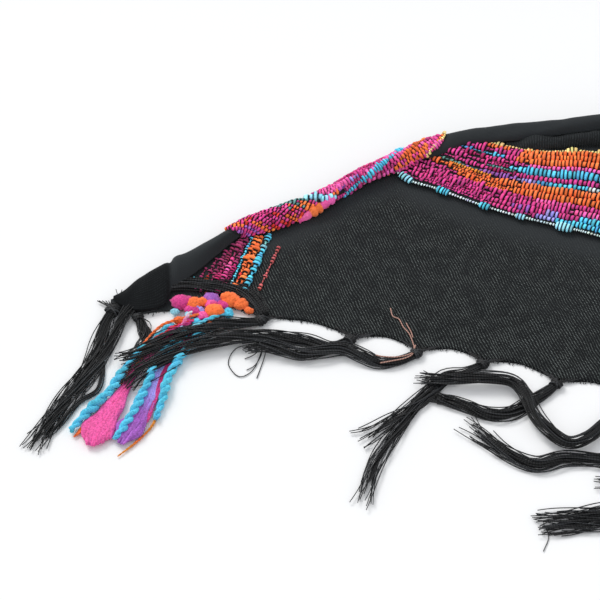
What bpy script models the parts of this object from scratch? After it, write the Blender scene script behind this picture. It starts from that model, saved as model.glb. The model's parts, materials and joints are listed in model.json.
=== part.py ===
"""A rebozo: a long shawl with a knotted fringe, laid on a flat surface.

The near fringed end lies flat. Its corner is folded back, and the rest of the
length is gathered over it, runs off to the right, turns round and comes back
behind to the far fringed end. Sizes are millimetres until a mesh is made.
"""
import math

import bmesh
import bpy
import numpy as np

MM = 0.001

CLOTH = 1.5
SEAM_GAP = 0.3
PANEL_TOP = 1.5
ON_PANEL = 1.8
LINE_OF_STRIP = 74.0
PANEL_STEP = 16.0

# How the gathered length turns over the surface: distance along it, and heading in degrees.
HEADINGS = (
    (165, 0), (250, -6), (350, -1), (460, 5), (560, 16), (620, 42), (690, 76), (760, 110),
    (830, 144), (890, 168), (950, 180), (1060, 184), (1200, 181), (1400, 178), (1640, 180),
)
PATH_STEP = 1.0

# The fold along the upper edge. Columns: station, foot across, foot height, crest across,
# crest height, back across, back height. Heights are above what the fold lies on.
EDGE_FOLD = (
    (-93, -3.2, 1.6, -1.6, 2.2, 0.4, 0.2),
    (-88, -6.6, 1.6, -1.0, 3.4, 4.0, 0.2),
    (-80, -9.4, 1.6, 7.0, 4.6, 12.8, 0.2),
    (-68, -6.6, 1.6, 14.6, 5.8, 21.2, 0.2),
    (-62, 6.6, 1.6, 18.6, 6.2, 25.2, 0.2),
    (-56, 11.8, 1.6, 22.6, 6.2, 29.0, 0.2),
    (-48, 20.0, 1.6, 28.4, 6.2, 35.2, 0.2),
    (-42, 27.0, 1.6, 33.2, 6.2, 39.6, 0.2),
    (-28, 40.6, 0.2, 45.0, 6.2, 50.8, 0.2),
    (-18, 42.8, 0.2, 49.6, 6.2, 55.8, 0.2),
    (0, 51.4, 0.2, 58.2, 6.4, 64.6, 0.2),
    (16, 61.8, 0.2, 66.8, 6.6, 73.0, 0.2),
    (26, 71.6, 0.2, 75.2, 6.8, 81.0, 0.2),
    (41, 81.0, 0.8, 84.4, 7.2, 90.4, 0.2),
    (52, 85.6, 2.0, 90.2, 8.2, 96.4, 0.2),
    (63, 88.4, 5.2, 95.4, 10.0, 102.6, 0.2),
    (74, 91.4, 7.3, 99.4, 11.4, 107.0, 0.2),
    (86, 96.6, 9.1, 102.4, 12.8, 109.6, 0.2),
    (100, 97.4, 10.0, 103.6, 14.2, 111.2, 0.2),
    (115, 98.0, 11.0, 104.6, 15.8, 112.6, 0.2),
    (131, 99.4, 12.4, 105.0, 17.2, 113.4, 0.2),
    (145, 101.4, 13.0, 106.6, 18.2, 115.0, 0.2),
    (165, 103.2, 13.2, 108.6, 19.4, 117.0, 0.2),
    (260, 104.0, 12.6, 112.6, 19.4, 122.0, 7.0),
    (400, 106.0, 12.0, 117.0, 19.0, 128.0, 7.0),
    (1380, 106.0, 12.0, 117.0, 19.0, 128.0, 7.0),
    (1500, 110.0, 8.0, 121.0, 13.0, 132.0, 4.0),
    (1640, 118.0, 2.0, 138.0, 4.2, 158.0, 1.7),
)

# The coloured band, from its selvage to its inner border, and the second fold beyond it.
# Columns: station, selvage, inner border, border height, strip end, strip height,
# second crest, second crest height.
BAND = (
    (45, 86.0, 124.0, 8.6, 130.0, 8.6, 134.0, 9.0),
    (51, 84.0, 122.0, 8.8, 128.0, 8.8, 132.0, 9.2),
    (59, 77.4, 116.4, 9.0, 122.0, 9.0, 126.0, 9.4),
    (69, 73.6, 112.6, 9.2, 116.0, 9.2, 120.0, 9.6),
    (78, 69.0, 108.0, 9.4, 112.0, 9.4, 116.0, 9.8),
    (93, 61.4, 100.8, 9.6, 103.0, 9.8, 106.0, 10.0),
    (102, 57.4, 97.2, 9.8, 97.6, 9.8, 97.7, 9.8),
    (110, 54.2, 94.6, 10.0, 95.6, 10.0, 96.6, 10.4),
    (120, 50.8, 92.0, 10.0, 93.6, 10.2, 96.4, 12.0),
    (134, 46.2, 90.8, 10.2, 93.4, 9.6, 97.2, 13.6),
    (145, 42.6, 91.0, 10.6, 95.0, 9.4, 98.8, 14.6),
    (156, 38.4, 89.4, 10.8, 95.4, 9.4, 99.8, 15.4),
    (165, 35.2, 88.6, 10.8, 95.6, 9.4, 100.2, 15.8),
    (260, 28.0, 84.0, 11.0, 91.0, 10.0, 98.0, 15.4),
    (400, 22.0, 80.0, 11.0, 89.0, 10.0, 98.0, 15.0),
    (1380, 22.0, 80.0, 11.0, 89.0, 10.0, 98.0, 15.0),
    (1500, 14.0, 74.0, 7.0, 88.0, 6.0, 99.0, 9.4),
    (1640, -10.0, 52.0, 1.8, 74.0, 1.7, 96.0, 3.6),
)
# Where each part of the band comes out from under the fold: share across it, and station.
BAND_START = (
    (0.0, 51.0), (0.22, 59.0), (0.42, 68.0), (0.55, 74.0), (0.82, 86.0), (0.93, 93.0), (1.0, 103.0),
)
SELVAGE_HEIGHT = 1.5
SLUB_ROWS = 13
SLUB_RELIEF = 0.45
BAND_BELLY = 0.16
CORNER_EDGE = 1.6

# The flat end: station, fringed edge, hidden back edge.
END_PANEL = (
    (-94.5, -2.6, -0.6), (-88, -7.0, 2.4), (-82, -9.4, 9.0), (-67, -7.8, 19.0), (-45, -8.4, 34.4),
    (-25, -9.6, 50.4), (2, -17.0, 63.6), (28, -23.6, 80.0), (58, -31.6, 98.0), (91, -38.8, 108.4),
    (126, -51.2, 111.0), (145, -56.6, 112.0), (200, -71.0, 96.0), (260, -86.0, 88.0),
    (330, -98.0, 82.0), (400, -105.0, 82.0), (470, -108.0, 88.0), (548, -106.0, 92.0),
)

KNOT_LENGTH = 4.6
KNOT_WIDTH = 7.4
KNOT_HEIGHT = 3.4
KNOT_GAP = 0.6
LOCK_HEIGHT = 1.5
LOW = 1.35
OVER = 4.1

# The near tassels. Columns: name, place of the knot along the cloth's edge, heading of the knot
# in degrees, number of locks, width of the bundle, splay at its tips, and the route in x, y
# and height.
NEAR_TASSELS = (
    ("tassel_tip", -91.6, -104, 5, 8.0, 1.5,
     ((-96, -16, LOW), (-100, -35, LOW), (-107, -53, LOW), (-117, -73, LOW), (-128, -94, LOW))),
    ("tassel_corner", -81.0, -75, 4, 5.0, 1.1,
     ((-77, -19, LOW), (-75, -26, LOW), (-77, -32, LOW), (-80, -37, LOW))),
    ("tassel_crossing_1", -17.0, -140, 5, 7.0, 1.5,
     ((-28, -17, 3.0), (-41, -19, OVER), (-58, -25, OVER), (-70, -32, OVER), (-81, -39, OVER),
      (-90, -43, OVER))),
    ("tassel_crossing_2", 27.0, -140, 5, 7.0, 1.5,
     ((15, -31, LOW), (3, -28.4, 1.8), (-12, -27, 2.8), (-24, -28, OVER), (-38, -29.5, OVER),
      (-50, -34, OVER), (-62, -42, OVER), (-74, -52, OVER), (-84, -60, OVER))),
    ("tassel_under", 59.0, -135, 5, 7.0, 1.3,
     ((48, -42, LOW), (38, -43, LOW), (29, -41, LOW), (18, -41.5, LOW), (6, -43, LOW), (-6, -41, LOW),
      (-15, -39, LOW))),
    ("tassel_right_1", 91.0, -135, 5, 7.6, 1.7,
     ((80, -47.5, LOW), (71, -50, LOW), (64, -57, LOW), (56, -66, LOW), (49, -78, LOW), (41, -91, LOW),
      (34, -106, LOW), (28, -128, LOW))),
    ("tassel_right_2", 126.0, -135, 5, 6.6, 1.3,
     ((117, -61, LOW), (109, -67, LOW), (100, -72, LOW), (90, -72, LOW), (81, -68, LOW), (73, -65, LOW))),
    ("tassel_right_3", 160.0, -120, 5, 7.6, 1.3,
     ((152, -72, 2.4), (144, -80, 3.4), (136, -88, OVER), (127, -91, OVER), (119, -85, OVER),
      (112, -75, OVER), (108, -63, OVER), (103, -55, OVER), (94, -53, 4.6), (80, -53, 4.6),
      (64, -53, OVER))),
    ("tassel_right_4", 193.0, -110, 5, 7.0, 1.5,
     ((183, -86, LOW), (170, -96, LOW), (156, -101, LOW), (142, -102, LOW), (126, -99, LOW),
      (110, -98, LOW), (97, -93, LOW), (87, -85, LOW), (79, -78, LOW))),
    ("tassel_right_5", 226.0, -105, 5, 9.0, 1.5,
     ((220, -96, LOW), (206, -113, LOW), (188, -123, LOW), (165, -128, LOW), (140, -129, LOW),
      (122, -133, LOW), (108, -136, LOW))),
    ("tassel_right_6", 259.0, -140, 5, 7.0, 1.4,
     ((246, -98, 2.0), (230, -104, OVER), (210, -108, OVER), (192, -110, 3.0), (170, -112, LOW),
      (152, -112, LOW), (137, -111, LOW))),
)
# One tassel parts in two: the second route of half its locks.
BRANCH_NAME = "tassel_right_1"
BRANCH_ROUTE = ((80, -47.5, LOW), (71, -50, LOW), (64, -57, LOW), (55, -67, LOW), (44, -76, LOW),
                (34, -84, LOW), (27, -89, LOW))

# The hidden right part of the near fringe: knots spaced evenly, each with a slow curve.
NEXT_KNOT = 292.0
KNOT_SPACING = 33.4
SWAY = (-112, -104, -100, -96, -91, -86, -82, -74)
SWAY_CURVE = 9.0
ROUTE_STEPS = 5
ROUTE_STEP = 19.0

SLUB_ENDS = 6
SLUB_WIDTH = 2.1
SLUB_HEIGHT = 2.2

FAR_STRIPS = 3
FAR_TASSELS = 6
FAR_LOCKS = 2
FAR_LENGTH = 108.0
FAR_BACKING = 2.5
FAR_ROOT = 2.8
FAR_STEPS = 4
FAR_LEVEL = 1.2
FAR_LOCK = (1.5, 1.4)
FAR_SPREAD = 0.10
FAR_WAVE = 2.2
STRIP_MARGIN = 0.6

BLACK = (0.016, 0.016, 0.018)
PINK = (0.50, 0.035, 0.17)


def material(name, color, roughness):
    """A Principled material, made once."""
    made = bpy.data.materials.get(name)
    if made is None:
        made = bpy.data.materials.new(name)
        made.use_nodes = True
        shader = made.node_tree.nodes["Principled BSDF"]
        shader.inputs["Base Color"].default_value = (*color, 1.0)
        shader.inputs["Roughness"].default_value = roughness
        shader.inputs["Metallic"].default_value = 0.0
    return made


def black_cotton():
    return material("black_cotton", BLACK, 0.9)


def slub_yarn():
    return material("slub_yarn", PINK, 0.85)


def column(table, index):
    """One column of a table, as a smooth function of the first."""
    at = np.array([row[0] for row in table], float)
    value = np.array([row[index] for row in table], float)
    slope = np.diff(value) / np.diff(at)
    inner = np.zeros(len(at))
    inner[0] = slope[0]
    inner[-1] = slope[-1]
    for i in range(1, len(at) - 1):
        if slope[i - 1] * slope[i] > 0.0:
            inner[i] = 2.0 * slope[i - 1] * slope[i] / (slope[i - 1] + slope[i])

    def read(where):
        where = min(max(where, at[0]), at[-1])
        i = min(int(np.searchsorted(at, where, side="right")) - 1, len(at) - 2)
        span = at[i + 1] - at[i]
        t = (where - at[i]) / span
        start = (1.0 + 2.0 * t) * (1.0 - t) ** 2 * value[i] + t * (1.0 - t) ** 2 * span * inner[i]
        end = t * t * (3.0 - 2.0 * t) * value[i + 1] + t * t * (t - 1.0) * span * inner[i + 1]
        return start + end

    return read


fold_foot = column(EDGE_FOLD, 1)
fold_foot_height = column(EDGE_FOLD, 2)
fold_crest = column(EDGE_FOLD, 3)
fold_crest_height = column(EDGE_FOLD, 4)
fold_back = column(EDGE_FOLD, 5)
fold_back_height = column(EDGE_FOLD, 6)
selvage = column(BAND, 1)
border = column(BAND, 2)
border_height = column(BAND, 3)
strip_end = column(BAND, 4)
strip_height = column(BAND, 5)
second_crest = column(BAND, 6)
second_crest_height = column(BAND, 7)
band_start = column(BAND_START, 1)
fringed_edge = column(END_PANEL, 1)
panel_back = column(END_PANEL, 2)


def walk_path():
    """Points and headings of the gathered length, a step apart."""
    at = [row[0] for row in HEADINGS]
    turn = [math.radians(row[1]) for row in HEADINGS]
    steps = int((at[-1] - at[0]) / PATH_STEP)
    x, y = float(at[0]), LINE_OF_STRIP
    points = []
    for i in range(steps + 1):
        heading = float(np.interp(at[0] + i * PATH_STEP, at, turn))
        points.append((x, y, heading))
        x += PATH_STEP * math.cos(heading)
        y += PATH_STEP * math.sin(heading)
    return np.array(points)


PATH = walk_path()
PATH_START = HEADINGS[0][0]
PATH_END = HEADINGS[-1][0]


def ground(station, across):
    """The place on the surface of a point of the gathered length."""
    if station <= PATH_START:
        return station, across
    index = min((station - PATH_START) / PATH_STEP, len(PATH) - 1)
    low = int(index)
    high = min(low + 1, len(PATH) - 1)
    share = index - low
    x, y, heading = PATH[low] * (1.0 - share) + PATH[high] * share
    side = across - LINE_OF_STRIP
    return x - side * math.sin(heading), y + side * math.cos(heading)


LEAVES_PANEL = 576.0
LANDS = 612.0


def base(station):
    """Height of what the gathered length lies on: the end panel, then the surface."""
    share = min(max((station - LEAVES_PANEL) / (LANDS - LEAVES_PANEL), 0.0), 1.0)
    return ON_PANEL * (1.0 - share * share * (3.0 - 2.0 * share))


def place(station, across, height):
    x, y = ground(station, across)
    return np.array((x, y, base(station) + height))


def quarter(start, end, share, rising):
    """A point on a quarter of an ellipse: upright at its start if rising, else at its end."""
    angle = share * math.pi / 2.0
    if rising:
        along, up = 1.0 - math.cos(angle), math.sin(angle)
    else:
        along, up = math.sin(angle), 1.0 - math.cos(angle)
    return start[0] + (end[0] - start[0]) * along, start[1] + (end[1] - start[1]) * up


def edge_fold_point(station, share):
    """The fold on the upper edge: from its foot (0) over its crest (0.5) to its back (1)."""
    foot = (fold_foot(station), fold_foot_height(station))
    crest = (fold_crest(station), fold_crest_height(station))
    back = (fold_back(station), fold_back_height(station))
    if share <= 0.5:
        return quarter(foot, crest, share * 2.0, True)
    return quarter(crest, back, share * 2.0 - 1.0, False)


def corner_point(station, share):
    """The folded-back corner: a sheet that rises from its front edge to the fold's crest."""
    if share > 0.5:
        return edge_fold_point(station, share)
    along = share * 2.0
    across = fold_foot(station) + (fold_crest(station) - fold_foot(station)) * along
    rise = fold_crest_height(station) - CORNER_EDGE
    return across, CORNER_EDGE + rise * math.sin(along * math.pi / 2.0)


def band_point(station, share):
    """The coloured band: from its selvage (0) to its inner border (1)."""
    across = selvage(station) + (border(station) - selvage(station)) * share
    rise = border_height(station) - SELVAGE_HEIGHT
    belly = BAND_BELLY * rise * math.sin(math.pi * share)
    return across, SELVAGE_HEIGHT + rise * share + belly


def second_fold_point(station, share):
    """The black ground beyond the band, and the second fold up to the groove behind it."""
    start = (border(station), border_height(station))
    strip = (strip_end(station), strip_height(station))
    crest = (second_crest(station), second_crest_height(station))
    groove = (fold_foot(station), fold_foot_height(station))
    if share <= 0.3:
        t = share / 0.3
        return start[0] + (strip[0] - start[0]) * t, start[1] + (strip[1] - start[1]) * t
    if share <= 0.7:
        return quarter(strip, crest, (share - 0.3) / 0.4, True)
    return quarter(crest, groove, (share - 0.7) / 0.3, False)


def surface(start_at, end_at, spacing, shares, point):
    """Points of a surface, a row for each station. Its ends may slant across it."""
    length = end_at(0.5) - start_at(0.5)
    count = max(3, int(round(length / spacing)) + 1)
    rows = []
    for t in np.linspace(0.0, 1.0, count):
        row = []
        for share in shares:
            station = start_at(share) + (end_at(share) - start_at(share)) * t
            across, height = point(station, share)
            row.append(place(station, across, height))
        rows.append(row)
    return np.array(rows)


def outward(points):
    """Unit normals of a grid of points, on its upper side."""
    along = np.gradient(points, axis=0)
    over = np.gradient(points, axis=1)
    normal = np.cross(along, over)
    return normal / np.linalg.norm(normal, axis=2, keepdims=True)


def at(station):
    """A straight end, at one station all across."""
    return lambda share: station


def wall(name, point, ends, spacing, shares, inner_shares, finish, relief=None):
    """A cloth wall: its outer grid, and the same surface moved in by the cloth's thickness."""
    start_at, end_at = ends
    outer = surface(start_at, end_at, spacing, shares, point)
    plain = surface(start_at, end_at, spacing, inner_shares, point)
    inner = plain - outward(plain) * CLOTH
    if relief is not None:
        outer = outer + outward(outer) * np.array([relief(k) for k in range(len(shares))])[None, :, None]
    return slab(name, outer, inner, finish)


def slab(name, top, bottom, finish):
    """A closed solid between two grids with the same rows. Their columns may differ in number."""
    mesh = bmesh.new()
    upper = [[mesh.verts.new(p * MM) for p in row] for row in top]
    lower = [[mesh.verts.new(p * MM) for p in row] for row in bottom]
    for sheet in (upper, lower):
        for row, following in zip(sheet, sheet[1:]):
            for k in range(len(row) - 1):
                mesh.faces.new((row[k], following[k], following[k + 1], row[k + 1]))
    for i in range(len(upper) - 1):
        for end in (0, -1):
            mesh.faces.new((upper[i][end], upper[i + 1][end], lower[i + 1][end], lower[i][end]))
    for end in (0, -1):
        mesh.faces.new([*upper[end], *reversed(lower[end])])
    return finish_mesh(name, mesh, finish)


def finish_mesh(name, mesh, finish):
    bmesh.ops.recalc_face_normals(mesh, faces=mesh.faces[:])
    bmesh.ops.triangulate(mesh, faces=mesh.faces[:])
    data = bpy.data.meshes.new(name)
    mesh.to_mesh(data)
    mesh.free()
    data.materials.append(finish)
    data.shade_smooth()
    data.set_sharp_from_angle(angle=math.radians(50.0))
    made = bpy.data.objects.new(name, data)
    bpy.context.scene.collection.objects.link(made)
    return made


def clear_scene():
    for thing in list(bpy.data.objects):
        bpy.data.objects.remove(thing, do_unlink=True)


def panel_stations():
    """The end panel's own stations, with plain ones between where they are far apart."""
    marks = [row[0] for row in END_PANEL]
    places = [marks[0]]
    for first, last in zip(marks, marks[1:]):
        parts = max(1, math.ceil((last - first) / PANEL_STEP))
        places += list(np.linspace(first, last, parts + 1)[1:])
    return places


def end_panel():
    """The near end, flat on the surface, with its underside on it."""
    top, bottom = [], []
    for x in panel_stations():
        front, back = fringed_edge(x), panel_back(x)
        top.append([(x, front + (back - front) * share, PANEL_TOP) for share in (0.0, 0.5, 1.0)])
        bottom.append([(x, front + (back - front) * share, 0.0) for share in (0.0, 1.0)])
    return slab("end_panel", np.array(top), np.array(bottom), black_cotton())


def corner_end(share):
    """The slant where the folded corner goes under the rolled band."""
    return -29.6 - 12.0 * share


def roll_end(share):
    """The slant of the inner border across the rolled band."""
    return 65.0 + 11.0 * share


FOLD_SHARES = np.linspace(0.03, 1.0, 11)
FOLD_INNER = np.linspace(0.03, 1.0, 7)
SECOND_SHARES = (0.02, 0.3, 0.43, 0.57, 0.7, 0.78, 0.86, 0.92)
SECOND_INNER = (0.02, 0.3, 0.5, 0.7, 0.81, 0.92)


def near_folds():
    """The folded corner, the rolled band and the black folds beyond it."""
    wall("turned_corner", corner_point, (at(-93.0), lambda share: corner_end(share) - 1.6), 5.0,
         np.linspace(0.0, 1.0, 11), np.linspace(0.0, 1.0, 7), black_cotton())
    wall("rolled_band", edge_fold_point, (corner_end, roll_end), 6.5, FOLD_SHARES, FOLD_INNER, slub_yarn())
    wall("top_fold", edge_fold_point, (lambda share: roll_end(share) + 0.5, at(165.0)), 7.0,
         FOLD_SHARES, FOLD_INNER, black_cotton())
    wall("second_fold", second_fold_point, (at(108.0), at(165.0)), 6.0, SECOND_SHARES, SECOND_INNER,
         black_cotton())


def slub_relief(k):
    """Each slub row is a rib between two low lines."""
    return SLUB_RELIEF * (k % 2)


BAND_SEAM = 0.984
RIBBED = np.linspace(0.0, BAND_SEAM, 2 * SLUB_ROWS + 1)
PLAIN = np.linspace(0.0, BAND_SEAM, 5)


def near_band():
    """The band on the end panel. Each row starts where it comes out from under the fold."""
    wall("band_panel", band_point, (lambda share: band_start(share) + 0.6, at(165.0)), 7.0, RIBBED, PLAIN,
         slub_yarn(), slub_relief)


# The stretches of the gathered length beyond the near end: name, and where each ends.
STRETCHES = (("out", 595.0), ("turn_1", 775.0), ("turn_2", 985.0), ("back", 1450.0), ("far", 1640.0))
SPACING = 27.0


def gathered_length():
    """The band and the black folds, one piece of each for each stretch."""
    first = PATH_START
    for name, last in STRETCHES:
        ends = (at(first + SEAM_GAP), at(last))
        wall("band_" + name, band_point, ends, SPACING, PLAIN, PLAIN, slub_yarn())
        wall("folds_" + name, gathered_folds, ends, SPACING, FOLDS_SHARES, FOLDS_INNER, black_cotton())
        first = last


FOLDS_SHARES = (0.0, 0.16, 0.24, 0.32, 0.4, 0.5, 0.6, 0.68, 0.76, 0.84, 0.92, 1.0)
FOLDS_INNER = (0.0, 0.2, 0.34, 0.5, 0.6, 0.7, 0.78, 0.86, 0.93, 1.0)


def gathered_folds(station, share):
    """The second fold and the edge fold as one sheet, with a round groove between them."""
    if share < 0.5:
        return second_fold_point(station, 0.02 + share * 2.0 * 0.91)
    return edge_fold_point(station, 0.06 + (share - 0.5) * 2.0 * 0.94)


def cover(station, across):
    """Height of the cloth that lies over a place of the gathered length."""
    foot = fold_foot(station)
    if across <= min(border(station), foot):
        width = border(station) - selvage(station)
        return band_point(station, (across - selvage(station)) / width)[1]
    point = second_fold_point if across < foot else edge_fold_point
    samples = [point(station, share) for share in np.linspace(0.0, 1.0, 41)]
    return float(np.interp(across, [s[0] for s in samples], [s[1] for s in samples]))


CORE_CLEAR = 2.4
CORE_LOWEST = 0.2
CORE_INSET = 10.0
CORE_START = 66.0
CORE_FINE_END = 178.0
CORE_FINE_STEP = 10.0
CORE_END = 1570.0
CORE_STEP = 27.0
EDGE_LAYERS = 2
EDGE_REACH = 3.6
CORE_BACK_CLEAR = 3.2


def core_section(station):
    """Points across the hidden layers: under the band, under the folds, then their edges."""
    front = selvage(station) + CORE_INSET
    foot, crest = fold_foot(station), fold_crest(station)
    back = fold_back(station) - CORE_BACK_CLEAR
    ridge = min(border(station), foot) - 1.5
    low = min(cover(station, across) for across in np.linspace(ridge, foot + 1.0, 9)) - CORE_CLEAR
    points = [(front, 0.15)]
    for share in (0.08, 0.36, 0.68):
        across = front + (ridge - front) * share
        points.append((across, cover(station, across - 1.5) - CORE_CLEAR))
    points += [(ridge, low), (foot + 0.5, low)]
    points.append((crest, fold_crest_height(station) - CORE_CLEAR))
    points.append((back - 1.4, cover(station, back - 0.4) - CORE_CLEAR))
    edge = max(fold_back_height(station) - 2.2, 1.2)
    out = EDGE_REACH * min((fold_back_height(station) - EDGE_FOLD[0][6]) / 4.0, 1.0)
    for k in range(2 * EDGE_LAYERS):
        height = edge * (1.0 - (k + 0.5) / (2 * EDGE_LAYERS))
        points.append((back + out * (1.0 if k % 2 else 0.6), height))
    return [(across, max(height, CORE_LOWEST)) for across, height in points[:-1]] + points[-1:]


def hidden_layers():
    """The layers inside the gathered length, as one rounded solid with layered back edges."""
    top, bottom = [], []
    near = np.arange(CORE_START, CORE_FINE_END, CORE_FINE_STEP)
    far = np.linspace(CORE_FINE_END, CORE_END, int((CORE_END - CORE_FINE_END) / CORE_STEP))
    for station in np.concatenate([near, far]):
        row = core_section(station)
        top.append([place(station, *point) for point in row])
        bottom.append([place(station, row[0][0], 0.0), place(station, row[-1][0], 0.0)])
    return slab("hidden_layers", np.array(top), np.array(bottom), black_cotton())


def smooth_route(points, count):
    """Points evenly apart on a smooth curve through the given ones."""
    knots = np.array(points, float)
    ends = np.vstack([2 * knots[0] - knots[1], knots, 2 * knots[-1] - knots[-2]])
    fine = []
    for i in range(1, len(ends) - 2):
        a, b, c, d = ends[i - 1:i + 3]
        for t in np.linspace(0.0, 1.0, 8, endpoint=False):
            fine.append(0.5 * (2 * b + (c - a) * t + (2 * a - 5 * b + 4 * c - d) * t ** 2
                               + (3 * b - a - 3 * c + d) * t ** 3))
    fine.append(knots[-1])
    fine = np.array(fine)
    run = np.concatenate([[0.0], np.cumsum(np.linalg.norm(np.diff(fine, axis=0), axis=1))])
    even = np.linspace(0.0, run[-1], count)
    return np.stack([np.interp(even, run, fine[:, k]) for k in range(3)], axis=1)


def lane(route, offset, splay):
    """A lock's own line beside its bundle's route, further out towards the tips."""
    along = np.gradient(route[:, :2], axis=0)
    along /= np.linalg.norm(along, axis=1, keepdims=True)
    side = np.stack([-along[:, 1], along[:, 0]], axis=1)
    share = np.linspace(0.0, 1.0, len(route))
    spread = offset * (1.0 + (splay - 1.0) * share ** 3)
    moved = route.copy()
    moved[:, :2] += side * spread[:, None]
    return moved


def fringe(name, left, right, facing, depth, heights, locks, size, finish):
    """A backing with locks that grow out of it. Each lock is a list of points from its root."""
    count = len(locks)
    left, right, facing = (np.array((*p, 0.0)) for p in (left, right, facing))
    mesh = bmesh.new()
    columns = [0.0]
    for k in range(count):
        middle = (k + 0.5) / count
        half = 0.36 / count
        columns += [middle - half, middle + half]
    columns.append(1.0)
    rings = []
    for out, width, height in heights:
        rows = []
        for sign in (1.0, -1.0):
            row = []
            for c in columns:
                share = 0.5 + (c - 0.5) * width
                bulge = 0.55 + 0.45 * math.sqrt(max(1.0 - (2.0 * c - 1.0) ** 2, 0.0))
                point = left + (right - left) * share + facing * depth * out
                point = point + np.array((0.0, 0.0, heights_middle(heights) + sign * 0.5 * height * bulge))
                row.append(mesh.verts.new(point * MM))
            rows.append(row)
        rings.append(rows)
    for first, second in zip(rings, rings[1:]):
        for upper in (0, 1):
            for c in range(len(columns) - 1):
                mesh.faces.new((first[upper][c], second[upper][c], second[upper][c + 1], first[upper][c + 1]))
        for c in (0, -1):
            mesh.faces.new((first[0][c], second[0][c], second[1][c], first[1][c]))
    upper, lower = rings[0]
    mesh.faces.new([*upper, *reversed(lower)])
    upper, lower = rings[-1]
    for c in range(len(columns) - 1):
        quad = (upper[c], upper[c + 1], lower[c + 1], lower[c])
        if c % 2 == 0:
            mesh.faces.new(quad)
            continue
        grow(mesh, quad, locks[c // 2], size)
    return finish_mesh(name, mesh, finish)


def heights_middle(heights):
    return 0.25 + 0.5 * max(height for _, _, height in heights)


def grow(mesh, root, points, size):
    """A four-sided lock from its root's corners along its points, thinner at the tip."""
    ring = root
    for k, point in enumerate(points):
        before = points[k - 1] if k else point
        after = points[k + 1] if k + 1 < len(points) else point
        along = (after - before)[:2]
        along = along / np.linalg.norm(along)
        side = np.array((-along[1], along[0], 0.0))
        share = (k + 1) / len(points)
        width, height = (s * (1.0 - 0.35 * share ** 2) for s in size)
        up = np.array((0.0, 0.0, 0.5 * height))
        left, right = point - side * 0.5 * width, point + side * 0.5 * width
        corners = (left + up, right + up, right - up, left - up)
        following = [mesh.verts.new(c * MM) for c in corners]
        for i in range(4):
            j = (i + 1) % 4
            mesh.faces.new((ring[i], ring[j], following[j], following[i]))
        ring = following
    mesh.faces.new(ring)


KNOT_RINGS = ((0.0, 0.7, 2.0), (0.5, 1.0, KNOT_HEIGHT), (1.0, 0.86, 2.0))
STRIP_RINGS = ((0.0, 1.0, 1.8), (1.0, 1.0, 1.6))


def knot_place(x, facing):
    """Where a knot starts, so that its nearest corner just clears the fringed edge."""
    slope = (fringed_edge(x + 1.0) - fringed_edge(x - 1.0)) / 2.0
    out = np.array((slope, -1.0)) / math.hypot(slope, 1.0)
    side = np.array((-facing[1], facing[0]))
    start = np.array((x, fringed_edge(x)))
    clear = []
    for reach, width, _ in KNOT_RINGS[:2]:
        for sign in (-0.5, 0.5):
            corner = start + facing * KNOT_LENGTH * reach + side * sign * KNOT_WIDTH * width
            clear.append((corner[1] - fringed_edge(corner[0])) * out[1])
    return start + out * (KNOT_GAP - min(clear))


def knotted_tassel(name, x, heading, count, width, splay, route, finish, branch=None):
    """A knot at the cloth's edge, and its locks side by side along one route."""
    turn = math.radians(heading)
    facing = np.array((math.cos(turn), math.sin(turn)))
    side = np.array((-facing[1], facing[0]))
    knot = knot_place(x, facing)
    front = knot + facing * KNOT_LENGTH
    left, right = knot - side * KNOT_WIDTH / 2.0, knot + side * KNOT_WIDTH / 2.0
    pitch = width / count
    middle = heights_middle(KNOT_RINGS)
    locks = []
    for k in range(count):
        own = branch if branch is not None and k < count // 2 else route
        length = sum(math.dist(a[:2], b[:2]) for a, b in zip(own, own[1:]))
        points = smooth_route([(*front, middle), *own], max(5, int(length / 13.0)))
        locks.append(lane(points, (k - (count - 1) / 2.0) * pitch, splay)[1:])
    return fringe(name, left, right, facing, KNOT_LENGTH, KNOT_RINGS, locks,
                  (0.72 * pitch, LOCK_HEIGHT), finish)


def near_fringe():
    for name, x, heading, count, width, splay, route in NEAR_TASSELS:
        branch = BRANCH_ROUTE if name == BRANCH_NAME else None
        knotted_tassel(name, x, heading, count, width, splay, route, black_cotton(), branch)


def next_tassels():
    """The knots beyond the ones in view, evenly spaced, each bundle in its own slow curve."""
    for k, sway in enumerate(SWAY):
        x = NEXT_KNOT + k * KNOT_SPACING
        route = []
        point = np.array((x, fringed_edge(x) - KNOT_LENGTH - 2.0))
        for step in range(1, ROUTE_STEPS + 1):
            turn = math.radians(sway + SWAY_CURVE * math.sin(1.3 * step + k))
            point = point + ROUTE_STEP * np.array((math.cos(turn), math.sin(turn)))
            route.append((*point, LOW))
        knotted_tassel("tassel_next_%d" % (k + 1), x, -95, 3, 6.0, 1.4, route, black_cotton())


# The outer lines of the loose slub ends: from the cloth's edge, through a waist, out to the tips.
SLUB_LEFT = ((-62.0, -8.6), (-66, -22), (-72, -33), (-83, -48), (-95, -66), (-107, -82))
SLUB_RIGHT = ((-31.0, -9.8), (-42, -21), (-51, -31), (-58, -45), (-63, -61), (-68, -79))
SLUB_BACKING = 3.0
SLUB_BACKING_RINGS = ((0.0, 1.0, 2.6), (1.0, 1.0, 2.2))
SLUB_LEVEL = 1.6


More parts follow.
